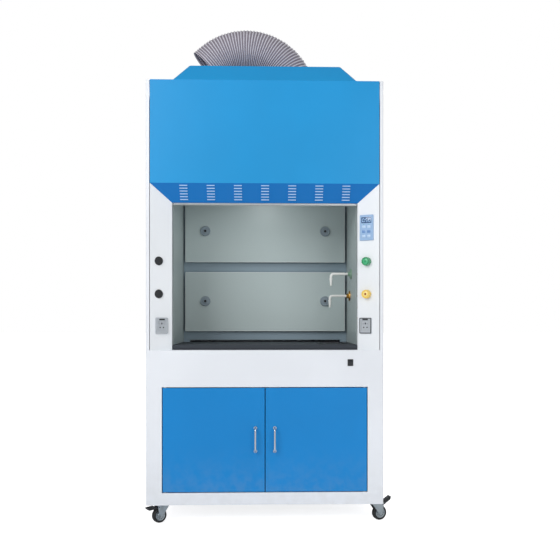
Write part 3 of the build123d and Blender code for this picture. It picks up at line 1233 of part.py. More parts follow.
OUTLET_FLANGE_R = 27.5
OUTLET_TUBE_R = 7.0
NOZZLE_LENGTH = 42.0
with BuildPart() as wall_outlets:
    for outlet_depth, z in (WATER_OUTLET, GAS_OUTLET):
        y = FRONT + outlet_depth
        wall = Plane(origin=(LINER_INNER - SEAT_GAP, y, z), x_dir=(0, 1, 0), z_dir=(-1, 0, 0))
        with BuildSketch(wall):
            Circle(OUTLET_FLANGE_R)
        extrude(amount=8, taper=12)
        with BuildSketch(wall.offset(8)):
            RegularPolygon(14, 6)
        extrude(amount=10)
        with BuildSketch(wall):
            Circle(PIPE_R)
        extrude(amount=-LINER_THICK - SEAT_GAP)
        tip_x = LINER_INNER - OUTLET_REACH
        with BuildLine() as spout:
            FilletPolyline((LINER_INNER - 10, y, z), (tip_x, y, z), (tip_x, y, z - 24), radius=14)
        with BuildSketch(Plane(origin=spout.line @ 0, z_dir=spout.line % 0)):
            Circle(OUTLET_TUBE_R)
        sweep(path=spout.line)
        with BuildSketch(Plane(origin=(tip_x, y, z - 22), z_dir=(0, 0, -1))):
            Circle(OUTLET_TUBE_R + 3)
        extrude(amount=NOZZLE_LENGTH, taper=7)
wall_outlets.part.label = "wall_outlets"
export_step(wall_outlets.part, "parts/wall_outlets.step")

FLUTES = 12
for name, valve_z in (("water", WATER_VALVE_Z), ("gas", GAS_VALVE_Z)):
    face = column_plane(1, VALVE_ACROSS, valve_z)
    with BuildPart() as knob:
        with BuildSketch(face.offset(1)):
            Circle(KNOB_R)
            with PolarLocations(KNOB_R + 1.5, FLUTES):
                Circle(3, mode=Mode.SUBTRACT)
        extrude(amount=KNOB_DEPTH, taper=4)
        with BuildSketch(face.offset(1 + KNOB_DEPTH)):
            Circle(KNOB_R - 8)
        extrude(amount=-2, mode=Mode.SUBTRACT)
        with BuildSketch(face.offset(2)):
            Circle(SPINDLE_R)
        extrude(amount=-2 - SPINDLE_REACH)
    knob.part.label = f"{name}_knob"
    export_step(knob.part, f"parts/{name}_knob.step")
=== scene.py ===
"""Looks of a ducted laboratory fume hood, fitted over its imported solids."""

import json
import logging
import math
from dataclasses import dataclass
from enum import Enum
from typing import Mapping, Sequence

import bmesh
import bpy
from mathutils import Matrix, Vector


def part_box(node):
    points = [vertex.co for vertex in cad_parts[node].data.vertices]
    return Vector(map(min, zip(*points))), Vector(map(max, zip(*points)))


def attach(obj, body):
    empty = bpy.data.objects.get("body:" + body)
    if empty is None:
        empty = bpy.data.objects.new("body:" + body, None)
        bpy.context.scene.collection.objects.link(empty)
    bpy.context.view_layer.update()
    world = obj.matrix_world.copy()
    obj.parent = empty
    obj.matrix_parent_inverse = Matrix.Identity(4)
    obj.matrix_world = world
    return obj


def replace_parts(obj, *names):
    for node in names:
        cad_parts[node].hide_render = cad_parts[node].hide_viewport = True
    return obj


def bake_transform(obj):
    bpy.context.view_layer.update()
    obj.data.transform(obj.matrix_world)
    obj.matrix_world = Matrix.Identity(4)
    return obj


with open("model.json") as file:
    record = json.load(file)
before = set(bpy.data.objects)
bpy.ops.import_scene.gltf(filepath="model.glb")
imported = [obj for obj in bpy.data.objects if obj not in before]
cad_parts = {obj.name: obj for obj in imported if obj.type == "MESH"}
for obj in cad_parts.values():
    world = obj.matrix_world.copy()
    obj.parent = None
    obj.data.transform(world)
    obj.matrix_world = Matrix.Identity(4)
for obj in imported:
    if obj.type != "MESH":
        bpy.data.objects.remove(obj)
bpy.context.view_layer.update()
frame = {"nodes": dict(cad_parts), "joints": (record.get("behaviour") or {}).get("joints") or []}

LOG = logging.getLogger("fume_hood")
MM = 0.001
SHARP_ANGLE = math.radians(35)
Colour = tuple[float, float, float, float]
Point = tuple[float, ...]


def mm(*sizes: float) -> Point:
    """Millimetres as metres."""
    return tuple(size * MM for size in sizes)


def rgb(red: int, green: int, blue: int) -> Colour:
    """An sRGB colour of 0 to 255 as the linear colour that a shader takes.

    Args:
        red: Red, 0 to 255.
        green: Green, 0 to 255.
        blue: Blue, 0 to 255.

    Returns:
        The linear colour with an alpha of 1.
    """
    parts = [channel / 255 for channel in (red, green, blue)]
    linear = [part / 12.92 if part <= 0.04045 else ((part + 0.055) / 1.055) ** 2.4 for part in parts]
    return (linear[0], linear[1], linear[2], 1.0)


def shaded(colour: Colour, factor: float) -> Colour:
    """The colour made darker or lighter by a factor."""
    return (*(min(1.0, part * factor) for part in colour[:3]), 1.0)


class Wire:
    """A node's output that can be used in sums."""

    def __init__(self, owner: "Tree", source: bpy.types.NodeSocket) -> None:
        """Keeps the output and the tree that it belongs to."""
        self.owner = owner
        self.source = source

    def math(self, operation: str, *others: "Wire | float", swap: bool = False) -> "Wire":
        """Adds a Math node.

        Args:
            operation: The Math node's operation.
            others: The other values.
            swap: True puts this value after the first other one.

        Returns:
            The node's result.
        """
        values: list[Wire | float] = [self, *others]
        if swap:
            values[0], values[1] = values[1], values[0]
        return self.owner.node("ShaderNodeMath", {"operation": operation}, dict(enumerate(values)))

    def __add__(self, other: "Wire | float") -> "Wire":
        """Sum."""
        return self.math("ADD", other)

    __radd__ = __add__

    def __sub__(self, other: "Wire | float") -> "Wire":
        """Difference."""
        return self.math("SUBTRACT", other)

    def __rsub__(self, other: "Wire | float") -> "Wire":
        """Difference, the other way round."""
        return self.math("SUBTRACT", other, swap=True)

    def __mul__(self, other: "Wire | float") -> "Wire":
        """Product."""
        return self.math("MULTIPLY", other)

    __rmul__ = __mul__

    def __abs__(self) -> "Wire":
        """Size without its sign."""
        return self.math("ABSOLUTE")

    def step(self, low: float, high: float) -> "Wire":
        """0 below low, 1 above high and smooth between; low may be above high."""
        inputs = {"Value": self, "From Min": low, "From Max": high}
        return self.owner.node("ShaderNodeMapRange", {"interpolation_type": "SMOOTHSTEP"}, inputs)


Setting = Wire | float | Sequence[float]


class Tree:
    """The nodes of a material or of the world."""

    def __init__(self, tree: bpy.types.NodeTree) -> None:
        """Keeps the node tree."""
        self.tree = tree

    def node(
        self,
        kind: str,
        settings: Mapping[str, object] | None = None,
        inputs: Mapping[str | int, Setting] | None = None,
        output: str | int = 0,
    ) -> Wire:
        """Adds a node.

        Args:
            kind: The node's type.
            settings: Its properties, set before its inputs.
            inputs: Values or wires, by the input's name or place.
            output: The output to hand back, by name or place.

        Returns:
            The output as a wire.
        """
        made = self.tree.nodes.new(kind)
        for name, value in (settings or {}).items():
            setattr(made, name, value)
        for key, value in (inputs or {}).items():
            self.plug(made.inputs[key], value)
        return Wire(self, made.outputs[output])

    def plug(self, socket: bpy.types.NodeSocket, value: Setting) -> None:
        """Sets an input to a value, or joins a wire to it.

        Args:
            socket: The input.
            value: The value or the wire.
        """
        if isinstance(value, Wire):
            self.tree.links.new(value.source, socket)
        else:
            socket.default_value = value

    def seen(self) -> Wire:
        """1 for a ray that comes from the camera, straight or through glass."""
        straight = self.node("ShaderNodeLightPath", output="Is Camera Ray")
        return straight.math("MAXIMUM", self.node("ShaderNodeLightPath", output="Is Transmission Ray"))


class Shader(Tree):
    """The nodes of one material."""

    def __init__(self, name: str) -> None:
        """Makes a material with one Principled BSDF."""
        self.material = bpy.data.materials.new(name)
        self.material.use_nodes = True
        super().__init__(self.material.node_tree)
        self.surface = self.tree.nodes["Principled BSDF"]

    def finish(self, **values: Setting) -> None:
        """Sets the surface's inputs; an underscore stands for a space in their names."""
        for name, value in values.items():
            self.plug(self.surface.inputs[name.replace("_", " ")], value)

    def place(self, scale: Sequence[float] = (1, 1, 1)) -> Wire:
        """The point in the object's own coordinates, stretched by a scale."""
        point = self.node("ShaderNodeTexCoord", output="Object")
        return self.node("ShaderNodeMapping", {}, {"Vector": point, "Scale": scale})

    def axes(self) -> tuple[Wire, Wire, Wire]:
        """Splits the point into its X, Y and Z, in metres."""
        point = self.node("ShaderNodeTexCoord", output="Object")
        split = self.node("ShaderNodeSeparateXYZ", {}, {0: point})
        outputs = split.source.node.outputs
        return tuple(Wire(self, outputs[place]) for place in range(3))

    def noise(self, scale: float, detail: float, stretch: Sequence[float] = (1, 1, 1)) -> Wire:
        """Soft noise.

        Args:
            scale: Cells in a metre.
            detail: Octaves.
            stretch: Scale along each axis.

        Returns:
            The noise, about 0.5 on average.
        """
        where = self.place(stretch)
        return self.node("ShaderNodeTexNoise", {}, {"Vector": where, "Scale": scale, "Detail": detail})

    def mix(self, factor: Setting, first: Setting, second: Setting) -> Wire:
        """A colour between two colours."""
        return self.node("ShaderNodeMix", {"data_type": "RGBA"}, {0: factor, 6: first, 7: second}, output=2)

    def bump(self, height: Wire, distance_mm: float, strength: float) -> Wire:
        """A normal from a height of 0 to 1."""
        inputs = {"Strength": strength, "Distance": distance_mm * MM, "Height": height}
        return self.node("ShaderNodeBump", {}, inputs)


@dataclass(frozen=True)
class Finish:
    """A surface finish; its material is made once."""

    name: str
    slot: str

    def material(self) -> bpy.types.Material:
        """Makes the material, unless it is there already."""
        found = bpy.data.materials.get(self.name)
        if found is None:
            shader = Shader(self.name)
            self.paint(shader)
            found = shader.material
        return found

    def paint(self, shader: Shader) -> None:
        """Sets up the surface."""
        raise NotImplementedError


@dataclass(frozen=True)
class PowderCoat(Finish):
    """Baked powder paint on sheet steel: orange peel, slight shade changes and dust low down."""

    colour: Colour
    roughness: float = 0.38
    peel_mm: float = 0.035
    peel_scale: float = 620.0
    dust: float = 0.12
    dust_colour: Colour = rgb(176, 172, 164)
    dust_heights: tuple[float, float] = (0.42, 0.06)

    def coat(self, shader: Shader) -> Wire:
        """The paint's colour with its slight changes of shade."""
        clouds = shader.noise(1.6, 3.0)
        return shader.mix(clouds.step(0.3, 0.7), shaded(self.colour, 0.955), shaded(self.colour, 1.03))

    def paint(self, shader: Shader) -> None:
        """Sets up the surface."""
        _, _, height = shader.axes()
        coat = self.coat(shader)
        patches = shader.noise(24.0, 4.0).step(0.25, 0.75)
        low = height.step(*self.dust_heights) * self.dust * patches
        smears = shader.noise(7.0, 3.0, (1.0, 1.0, 0.25))
        shader.finish(
            Base_Color=shader.mix(low, coat, self.dust_colour),
            Roughness=self.roughness - 0.05 + smears * 0.1 + low * 0.3,
            Specular_IOR_Level=0.3,
            Coat_Weight=0.06,
            Coat_Roughness=0.22,
            Normal=shader.bump(shader.noise(self.peel_scale, 1.0), self.peel_mm, 0.5),
        )


@dataclass(frozen=True)
class LouvredCoat(PowderCoat):
    """Paint of the front cover, with painted shade on the downward-facing bevel and painted highlights on
    the louvre lips.
    """

    top_y: float = -0.400
    top_z: float = 1.719
    foot_y: float = -0.340
    foot_z: float = 1.627
    crease: float = 0.4 * MM
    lip_low: float = 1.8 * MM
    lip_high: float = 3.0 * MM
    # Painted shade: the darker blue of the bevel, which faces down.
    deep: Colour = rgb(0, 114, 192)
    # Painted highlight: the pale colour of the louvre lips.
    lip_highlight: Colour = rgb(196, 222, 246)

    def coat(self, shader: Shader) -> Wire:
        """The colour of the front, with painted shade on the bevel and painted highlights on its lips."""
        _, depth, height = shader.axes()
        run, rise = self.foot_y - self.top_y, self.top_z - self.foot_z
        length = math.hypot(run, rise)
        proud = (self.top_y - depth) * (rise / length) + (self.top_z - height) * (run / length)
        bevel = height.step(self.top_z + self.crease, self.top_z - self.crease)
        lips = bevel * proud.step(self.lip_low, self.lip_high)
        # The bevel takes the painted shade and the lips take the painted highlight.
        body = shader.mix(bevel, super().coat(shader), self.deep)
        return shader.mix(lips * 0.8, body, self.lip_highlight)


@dataclass(frozen=True)
class Laminate(Finish):
    """Compact laminate board: faint flecks, satin face."""

    colour: Colour
    flecks: float = 0.05
    fleck_scale: float = 210.0
    roughness: float = 0.42

    def colours(self, shader: Shader) -> Wire:
        """The board's colour with its clouds and flecks."""
        clouds = shader.noise(1.1, 2.0)
        base = shader.mix(clouds.step(0.3, 0.7), shaded(self.colour, 0.94), shaded(self.colour, 1.06))
        fleck = shader.noise(self.fleck_scale, 3.0).step(0.56, 0.7) * self.flecks * 4
        return shader.mix(fleck, base, shaded(self.colour, 0.72))

    def paint(self, shader: Shader) -> None:
        """Sets up the surface."""
        wiped = shader.noise(9.0, 4.0, (1.0, 1.0, 0.35))
        shader.finish(
            Base_Color=self.colours(shader),
            Roughness=self.roughness - 0.06 + wiped * 0.12,
            Normal=shader.bump(shader.noise(480.0, 2.0), 0.03, 0.4),
        )


@dataclass(frozen=True)
class BaffleLaminate(Laminate):
    """Laminate of the baffle boards, with a painted highlight along their edges."""

    half_width: float = 0.461
    half_height: float = 0.170
    middles: tuple[float, float] = (1.134, 1.532)
    edge: float = 3.5 * MM
    edge_highlight: Colour = rgb(222, 228, 226)

    def colours(self, shader: Shader) -> Wire:
        """The board's colour with a painted highlight line along its edges."""
        across, _, height = shader.axes()
        half, sharp = self.half_height, self.edge * 0.6
        # Mask of the board edges that take the painted highlight.
        rim = abs(across).step(self.half_width - self.edge, self.half_width - sharp)
        for middle in self.middles:
            near = abs(height - middle)
            band = near.step(half - self.edge, half - sharp) * near.step(half + 0.02, half + 0.01)
            rim = rim.math("MAXIMUM", band)
        return shader.mix(rim * 0.75, super().colours(shader), self.edge_highlight)


@dataclass(frozen=True)
class Moulded(Finish):
    """Moulded plastic or rubber with a fine grain."""

    colour: Colour
    roughness: float = 0.45
    grain_mm: float = 0.04
    grain_scale: float = 900.0
    wear: float = 0.06
    coat: float = 0.0

    def paint(self, shader: Shader) -> None:
        """Sets up the surface."""
        worn = shader.noise(60.0, 4.0).step(0.45, 0.75)
        shader.finish(
            Base_Color=shader.mix(worn * self.wear * 2, self.colour, shaded(self.colour, 1.5)),
            Roughness=self.roughness + worn * 0.12,
            Coat_Weight=self.coat,
            Coat_Roughness=0.15,
            Normal=shader.bump(shader.noise(self.grain_scale, 1.0), self.grain_mm, 0.5),
        )


@dataclass(frozen=True)
class Metal(Finish):
    """Bare or plated metal; the drawn lines run along its long axis."""

    colour: Colour
    roughness: float = 0.3
    stretch: tuple[float, float, float] = (1.0, 1.0, 1.0)
    line_scale: float = 260.0
    stain: float = 0.1

    def paint(self, shader: Shader) -> None:
        """Sets up the surface."""
        lines = shader.noise(self.line_scale, 2.0, self.stretch)
        stains = shader.noise(34.0, 4.0).step(0.4, 0.75)
        shader.finish(
            Base_Color=shader.mix(stains * self.stain * 3, self.colour, shaded(self.colour, 0.72)),
            Metallic=1.0,
            Roughness=self.roughness - 0.06 + lines * 0.14 + stains * self.stain,
            Normal=shader.bump(lines, 0.02, 0.4),
        )


@dataclass(frozen=True)
class Galvanised(Finish):
    """Galvanised sheet with its spangle."""

    colour: Colour
    crystal_scale: float = 55.0

    def paint(self, shader: Shader) -> None:
        """Sets up the surface."""
        inputs = {"Vector": shader.place(), "Scale": self.crystal_scale}
        cells = shader.node("ShaderNodeTexVoronoi", {}, inputs, output="Color")
        tone = shader.node("ShaderNodeSeparateColor", {}, {0: cells})
        shader.finish(
            Base_Color=shader.mix(tone, shaded(self.colour, 0.78), shaded(self.colour, 1.12)),
            Metallic=0.9,
            Roughness=0.34 + tone * 0.16,
            Normal=shader.bump(shader.noise(400.0, 1.0), 0.02, 0.3),
        )


@dataclass(frozen=True)
class ClearGlass(Finish):
    """Clear toughened glass with a faint green tint."""

    colour: Colour
    haze: float = 0.02

    def paint(self, shader: Shader) -> None:
        """Sets up the surface."""
        shader.finish(
            Base_Color=self.colour,
            Roughness=shader.noise(5.0, 3.0).step(0.4, 0.8) * self.haze + 0.01,
            IOR=1.5,
            Transmission_Weight=1.0,
        )


@dataclass(frozen=True)
class HoseSkin(Finish):
    """Coated hose fabric over a wire: its own pale colour on the ridges, with painted shade in the folds.
    """

    ridge: Colour
    # Painted shade: the darker colour used in the folds.
    fold: Colour
    wire: Colour = rgb(238, 236, 240)

    def paint(self, shader: Shader) -> None:
        """Sets up the surface."""
        height = shader.node("ShaderNodeAttribute", {"attribute_name": "ridge"}, output="Fac")
        wire = height.step(0.86, 0.97)
        # Darkens the folds with painted shade.
        skin = shader.mix(height.step(0.05, 0.9), self.fold, self.ridge)
        blotch = shader.noise(38.0, 4.0).step(0.35, 0.75) * 0.22
        soiled = shader.mix(blotch, skin, shaded(self.ridge, 0.7))
        shader.finish(
            Base_Color=shader.mix(wire * 0.55, soiled, self.wire),
            Roughness=0.5 - wire * 0.16 + blotch * 0.2,
            Coat_Weight=0.15,
            Coat_Roughness=0.3,
            Normal=shader.bump(shader.noise(150.0, 3.0), 0.25, 0.5),
        )


@dataclass(frozen=True)
class OutletFinish(Finish):
    """Wall outlets: white moulded spouts, with one green and one brass wall fitting."""

    fitting_x: float = 0.452
    divide_z: float = 1.21
    brass: Colour = rgb(206, 158, 78)
    green: Colour = rgb(126, 158, 136)
    clean: Colour = rgb(240, 241, 238)
    worn: Colour = rgb(216, 218, 214)

    def paint(self, shader: Shader) -> None:
        """Sets up the surface."""
        across, _, height = shader.axes()
        fitting = across.step(self.fitting_x, self.fitting_x + 0.001)
        upper = height.step(self.divide_z, self.divide_z + 0.01)
        kinds = shader.mix(upper, self.brass, self.green)
        white = shader.mix(shader.noise(30.0, 3.0).step(0.4, 0.8) * 0.3, self.clean, self.worn)
        shader.finish(
            Base_Color=shader.mix(fitting, white, kinds),
            Metallic=fitting * (1 - upper) * 0.9,
            Roughness=0.34 - fitting * 0.06,
            Coat_Weight=0.3,
            Normal=shader.bump(shader.noise(300.0, 2.0), 0.03, 0.4),
        )


@dataclass(frozen=True)
class Glow(Finish):
    """A dim lit surface, as of the display's figures."""

    colour: Colour
    power: float = 0.6

    def paint(self, shader: Shader) -> None:
        """Sets up the surface."""
        even = shader.mix(shader.noise(90.0, 2.0) * 0.2, self.colour, shaded(self.colour, 0.8))
        shader.finish(Base_Color=even, Roughness=0.4, Emission_Color=even, Emission_Strength=self.power)


class Palette(Enum):
    """The finishes of the hood."""

    WHITE = PowderCoat("white_powder_coat", "white_paint", rgb(236, 240, 246))
    COLUMN = PowderCoat("column_powder_coat", "column_paint", rgb(240, 244, 248), dust=0.0)
    BLUE = LouvredCoat("blue_powder_coat", "blue_paint", rgb(26, 150, 214), dust=0.0)
    DOOR_BLUE = PowderCoat("door_blue_powder_coat", "door_blue_paint", rgb(10, 134, 208))
    SKY = PowderCoat("top_blue_powder_coat", "sky_paint", rgb(10, 150, 214), dust=0.0)
    BOARD = BaffleLaminate("baffle_laminate", "chamber_board", rgb(184, 198, 198))
    LINER = Laminate("liner_laminate", "chamber_board", rgb(170, 182, 182))
    PLATE = Laminate("plenum_laminate", "chamber_plate", rgb(140, 160, 172))
    WORKTOP = Laminate("worktop_board", "worktop_board", rgb(52, 66, 78), flecks=0.1, roughness=0.34)
    BLACK = Moulded("black_moulding", "black_plastic", rgb(30, 34, 38), 0.42)
    RUBBER = Moulded("black_tyre_rubber", "wheel_tread", rgb(26, 29, 31), 0.6, 0.12, 300.0, 0.12)
    SINK = Moulded("sink_moulding", "sink_plastic", rgb(44, 50, 56), 0.4)
    PANEL = Moulded("panel_membrane", "panel_plastic", rgb(150, 184, 222), 0.34, 0.02, coat=0.3)
    KEY = Moulded("key_membrane", "panel_plastic", rgb(186, 212, 240), 0.3, 0.02, coat=0.3)
    KEY_DARK = Moulded("key_membrane_dark", "panel_plastic", rgb(104, 146, 200), 0.3, 0.02, coat=0.3)
    DISPLAY = Moulded("display_window", "panel_plastic", rgb(54, 84, 128), 0.12, 0.0, coat=0.5)
    FIGURES = Glow("display_figures", "panel_plastic", rgb(176, 216, 250))
    SOCKET = Moulded("socket_moulding", "socket_plastic", rgb(176, 182, 188), 0.36, coat=0.2)
    GREEN = Moulded("green_knob", "green_plastic", rgb(34, 150, 96), 0.26, 0.03, coat=0.5)
    # Lighter copy of the knob green: a painted highlight on the water knob's face; it also colours the key
    # lamps.
    GREEN_HIGHLIGHT_AND_LAMP = Moulded("green_knob_highlight_and_lamp", "green_plastic", rgb(70, 186, 130), 0.22, 0.02, coat=0.5)
    YELLOW = Moulded("yellow_knob", "yellow_plastic", rgb(244, 206, 92), 0.26, 0.03, coat=0.5)
    # Lighter copy of the knob yellow: a painted highlight on the gas knob's face.
    YELLOW_HIGHLIGHT = Moulded("yellow_knob_highlight", "yellow_plastic", rgb(250, 226, 140), 0.22, 0.02, coat=0.5)
    RED = Moulded("red_index", "yellow_plastic", rgb(150, 52, 24), 0.3)
    CAP = Moulded("cap_moulding", "cap_plastic", rgb(134, 148, 158), 0.38)
    ENAMEL = PowderCoat("lamp_enamel", "lamp_housing", rgb(236, 238, 238), dust=0.0)
    ACRYLIC = Moulded("frosted_acrylic", "lamp_housing", rgb(232, 236, 236), 0.5)
    ZINC = Metal("zinc_plate", "zinc_steel", rgb(172, 182, 188), 0.36, line_scale=120.0, stain=0.2)
    CHROME = Metal("polished_steel", "bright_steel", rgb(206, 209, 214), 0.16, stain=0.04)
    SHAFT = Metal("turned_steel", "shaft_steel", rgb(168, 170, 172), 0.3, (30.0, 1.0, 1.0))
    TRACK = Metal("track_aluminium", "track_aluminium", rgb(196, 200, 204), 0.36, (1.0, 1.0, 0.02))
    SASH = Metal("sash_aluminium", "sash_aluminium", rgb(214, 219, 224), 0.32, (0.02, 1.0, 1.0))
    BRASS = Metal("brass_and_copper", "brass_fittings", rgb(200, 150, 86), 0.32, stain=0.25)
    GALVANISED = Galvanised("galvanised_sheet", "galvanised", rgb(178, 184, 188))
    MOTOR = Moulded("motor_enamel", "motor_paint", rgb(74, 92, 104), 0.45, 0.12, 240.0)
    GLASS = ClearGlass("sash_glass", "sash_glass", (0.90, 0.97, 0.95, 1.0))
    HOSE = HoseSkin("hose_fabric", "duct_skin", rgb(206, 204, 216), rgb(128, 120, 132))
    OUTLET = OutletFinish("outlet_moulding", "white_plastic")


NODE_FINISHES: dict[Palette, tuple[str, ...]] = {
    Palette.WHITE: (
        "base_frame", "base_carcass", "deck_frame", "side_panel_left", "side_panel_right", "rear_panel",
        "roof_panel",
    ),
    Palette.COLUMN: ("column_left", "column_right"),
    Palette.BLUE: ("front_cover",),
    Palette.SKY: ("top_cover",),
    Palette.DOOR_BLUE: ("door_left", "door_right"),
    Palette.CHROME: ("door_handle_left", "door_handle_right"),
    Palette.ZINC: (
        "door_fittings", "caster_plates", "caster_fork_front_left", "caster_fork_front_right",
        "caster_fork_rear_left", "caster_fork_rear_right", "duct_clamp", "upper_sash_cables",
        "lower_sash_cables",
    ),
    Palette.RUBBER: (
        "caster_wheel_front_left", "caster_wheel_front_right", "caster_wheel_rear_left",
        "caster_wheel_rear_right",
    ),
    Palette.BLACK: (
        "caster_brake_front_left", "caster_brake_front_right", "switch_housing", "rocker_switch",
        "column_plugs",
    ),
    Palette.WORKTOP: ("worktop",),
    Palette.SINK: ("cup_sink",),
    Palette.SOCKET: ("power_sockets",),
    Palette.PANEL: ("control_panel",),
    Palette.LINER: ("liner_left", "liner_right", "chamber_ceiling"),
    Palette.PLATE: ("plenum_plate",),
    Palette.BOARD: ("baffle_boards",),
    Palette.CAP: ("baffle_standoffs",),
    Palette.ENAMEL: ("ceiling_light",),
    Palette.TRACK: ("sash_tracks",),
    Palette.SASH: ("sash_upper_frame", "sash_lower_frame"),
    Palette.GLASS: ("sash_upper_glass", "sash_lower_glass"),
    Palette.SHAFT: ("lift_shaft",),
    Palette.MOTOR: ("sash_gearmotor", "blower_motor"),
    Palette.GALVANISED: ("blower_housing", "blower_impeller", "exhaust_collar"),
    Palette.HOSE: ("flexible_duct",),
    Palette.BRASS: ("service_lines",),
    Palette.OUTLET: ("wall_outlets",),
    Palette.GREEN: ("water_knob",),
    Palette.YELLOW: ("gas_knob",),
}


def dress_nodes() -> None:
    """Gives every solid of the frame its finish."""
    for entry, names in NODE_FINISHES.items():
        for name in names:
            node = frame["nodes"][name]
            node.data.materials.clear()
            node.data.materials.append(entry.value.material())
    LOG.info("dressed %d solids", sum(len(names) for names in NODE_FINISHES.values()))


def joint(name: str) -> dict:
    """The record of a joint."""
    return next(found for found in frame["joints"] if found["name"] == name)


def box_middle(node: str) -> Vector:
    """The middle of a node's box, in metres."""
    low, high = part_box(node)
    return (Vector(low) + Vector(high)) / 2


def edges_of(verts: Sequence[bmesh.types.BMVert]) -> list[bmesh.types.BMEdge]:
    """The edges that meet at some vertices, each once."""
    return list({edge for vert in verts for edge in vert.link_edges})


def mirrored(profile: Sequence[Point]) -> list[Point]:
    """An outline of (radius, height) points, followed by its mirror image below height 0."""
    return [*profile, *((radius, -height) for radius, height in reversed(profile))]


def basis(origin: Sequence[float], normal: Sequence[float], up: Sequence[float] = (0, 0, 1)) -> Matrix:
    """A frame whose Z is a face's normal and whose Y is near an up direction.

    Args:
        origin: Where it stands, in metres.
        normal: The face's outward direction.
        up: The direction that Y keeps near.

    Returns:
        The matrix from that frame to the hood's.
    """
    z = Vector(normal).normalized()
    x = Vector(up).cross(z).normalized()
    turn = Matrix((x, z.cross(x), z)).transposed().to_4x4()
    return Matrix.Translation(Vector(origin)) @ turn


@dataclass
class Mesh:
    """A mesh under construction, in metres; each step is placed by a matrix."""

    name: str
    place: Matrix

    def __post_init__(self) -> None:
        """Starts an empty mesh."""
        self.bm = bmesh.new()

    def block(self, centre: Sequence[float], size: Sequence[float], bevel: float = 0.0) -> None:
        """Adds a block, with rounded edges if a bevel is given.

        Args:
            centre: Its middle.
            size: Its width, height and depth.
            bevel: The radius of its edges.
        """
        at = self.place @ Matrix.Translation(Vector(centre)) @ Matrix.Diagonal((*size, 1.0))
        made = bmesh.ops.create_cube(self.bm, size=1.0, matrix=at)
        if bevel:
            bmesh.ops.bevel(
                self.bm, geom=edges_of(made["verts"]), offset=bevel, offset_type="OFFSET",
                affect="EDGES", segments=2, profile=0.5, material=-1,
            )

    def turned(self, profile: Sequence[Point], steps: int, at: Matrix | None = None) -> None:
        """Adds a body of revolution about Z.

        Args:
            profile: Its outline as (radius, height) points, from one end to the other.
            steps: Facets round it.
            at: A further placing.
        """
        where = self.place @ (at or Matrix.Identity(4))
        before = set(self.bm.verts)
        verts = [self.bm.verts.new((radius, 0.0, height)) for radius, height in profile]
        edges = [self.bm.edges.new(pair) for pair in zip(verts, verts[1:])]
        bmesh.ops.spin(
            self.bm, geom=verts + edges, cent=(0, 0, 0), axis=(0, 0, 1), angle=math.tau, steps=steps,
            use_merge=True,
        )
        spun = [vert for vert in self.bm.verts if vert not in before]
        bmesh.ops.remove_doubles(self.bm, verts=spun, dist=1e-6)
        made = [vert for vert in self.bm.verts if vert not in before]
        bmesh.ops.transform(self.bm, matrix=where, verts=made)

    def done(self, finish: Palette, body: str | None, smooth: bool = True) -> bpy.types.Object:
        """Ends the mesh: turns its faces outwards, shades it and makes it a piece.

        Args:
            finish: Its finish.
            body: The body that it rides on, or None to leave it on no body.
            smooth: True for smooth shading across soft edges.

        Returns:
            The piece.
        """
        bmesh.ops.recalc_face_normals(self.bm, faces=self.bm.faces)
        if smooth:
            for face in self.bm.faces:
                face.smooth = True
            for edge in self.bm.edges:
                if len(edge.link_faces) == 2 and edge.calc_face_angle(0.0) > SHARP_ANGLE:
                    edge.smooth = False
        return self.placed(finish, body)

    def placed(self, finish: Palette, body: str | None) -> bpy.types.Object:
        """Writes the mesh to a new object.

        Args:
            finish: Its finish.
            body: The body that it rides on, or None to leave it on no body.

        Returns:
            The piece.
        """
        data = bpy.data.meshes.new(self.name)
        self.bm.to_mesh(data)
        self.bm.free()
        piece = bpy.data.objects.new(self.name, data)
        bpy.context.scene.collection.objects.link(piece)
        data.materials.append(finish.value.material())
        if body:
            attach(piece, body)
        LOG.info("%s: %d faces on %s", self.name, len(data.polygons), body or "two bodies")
        return piece


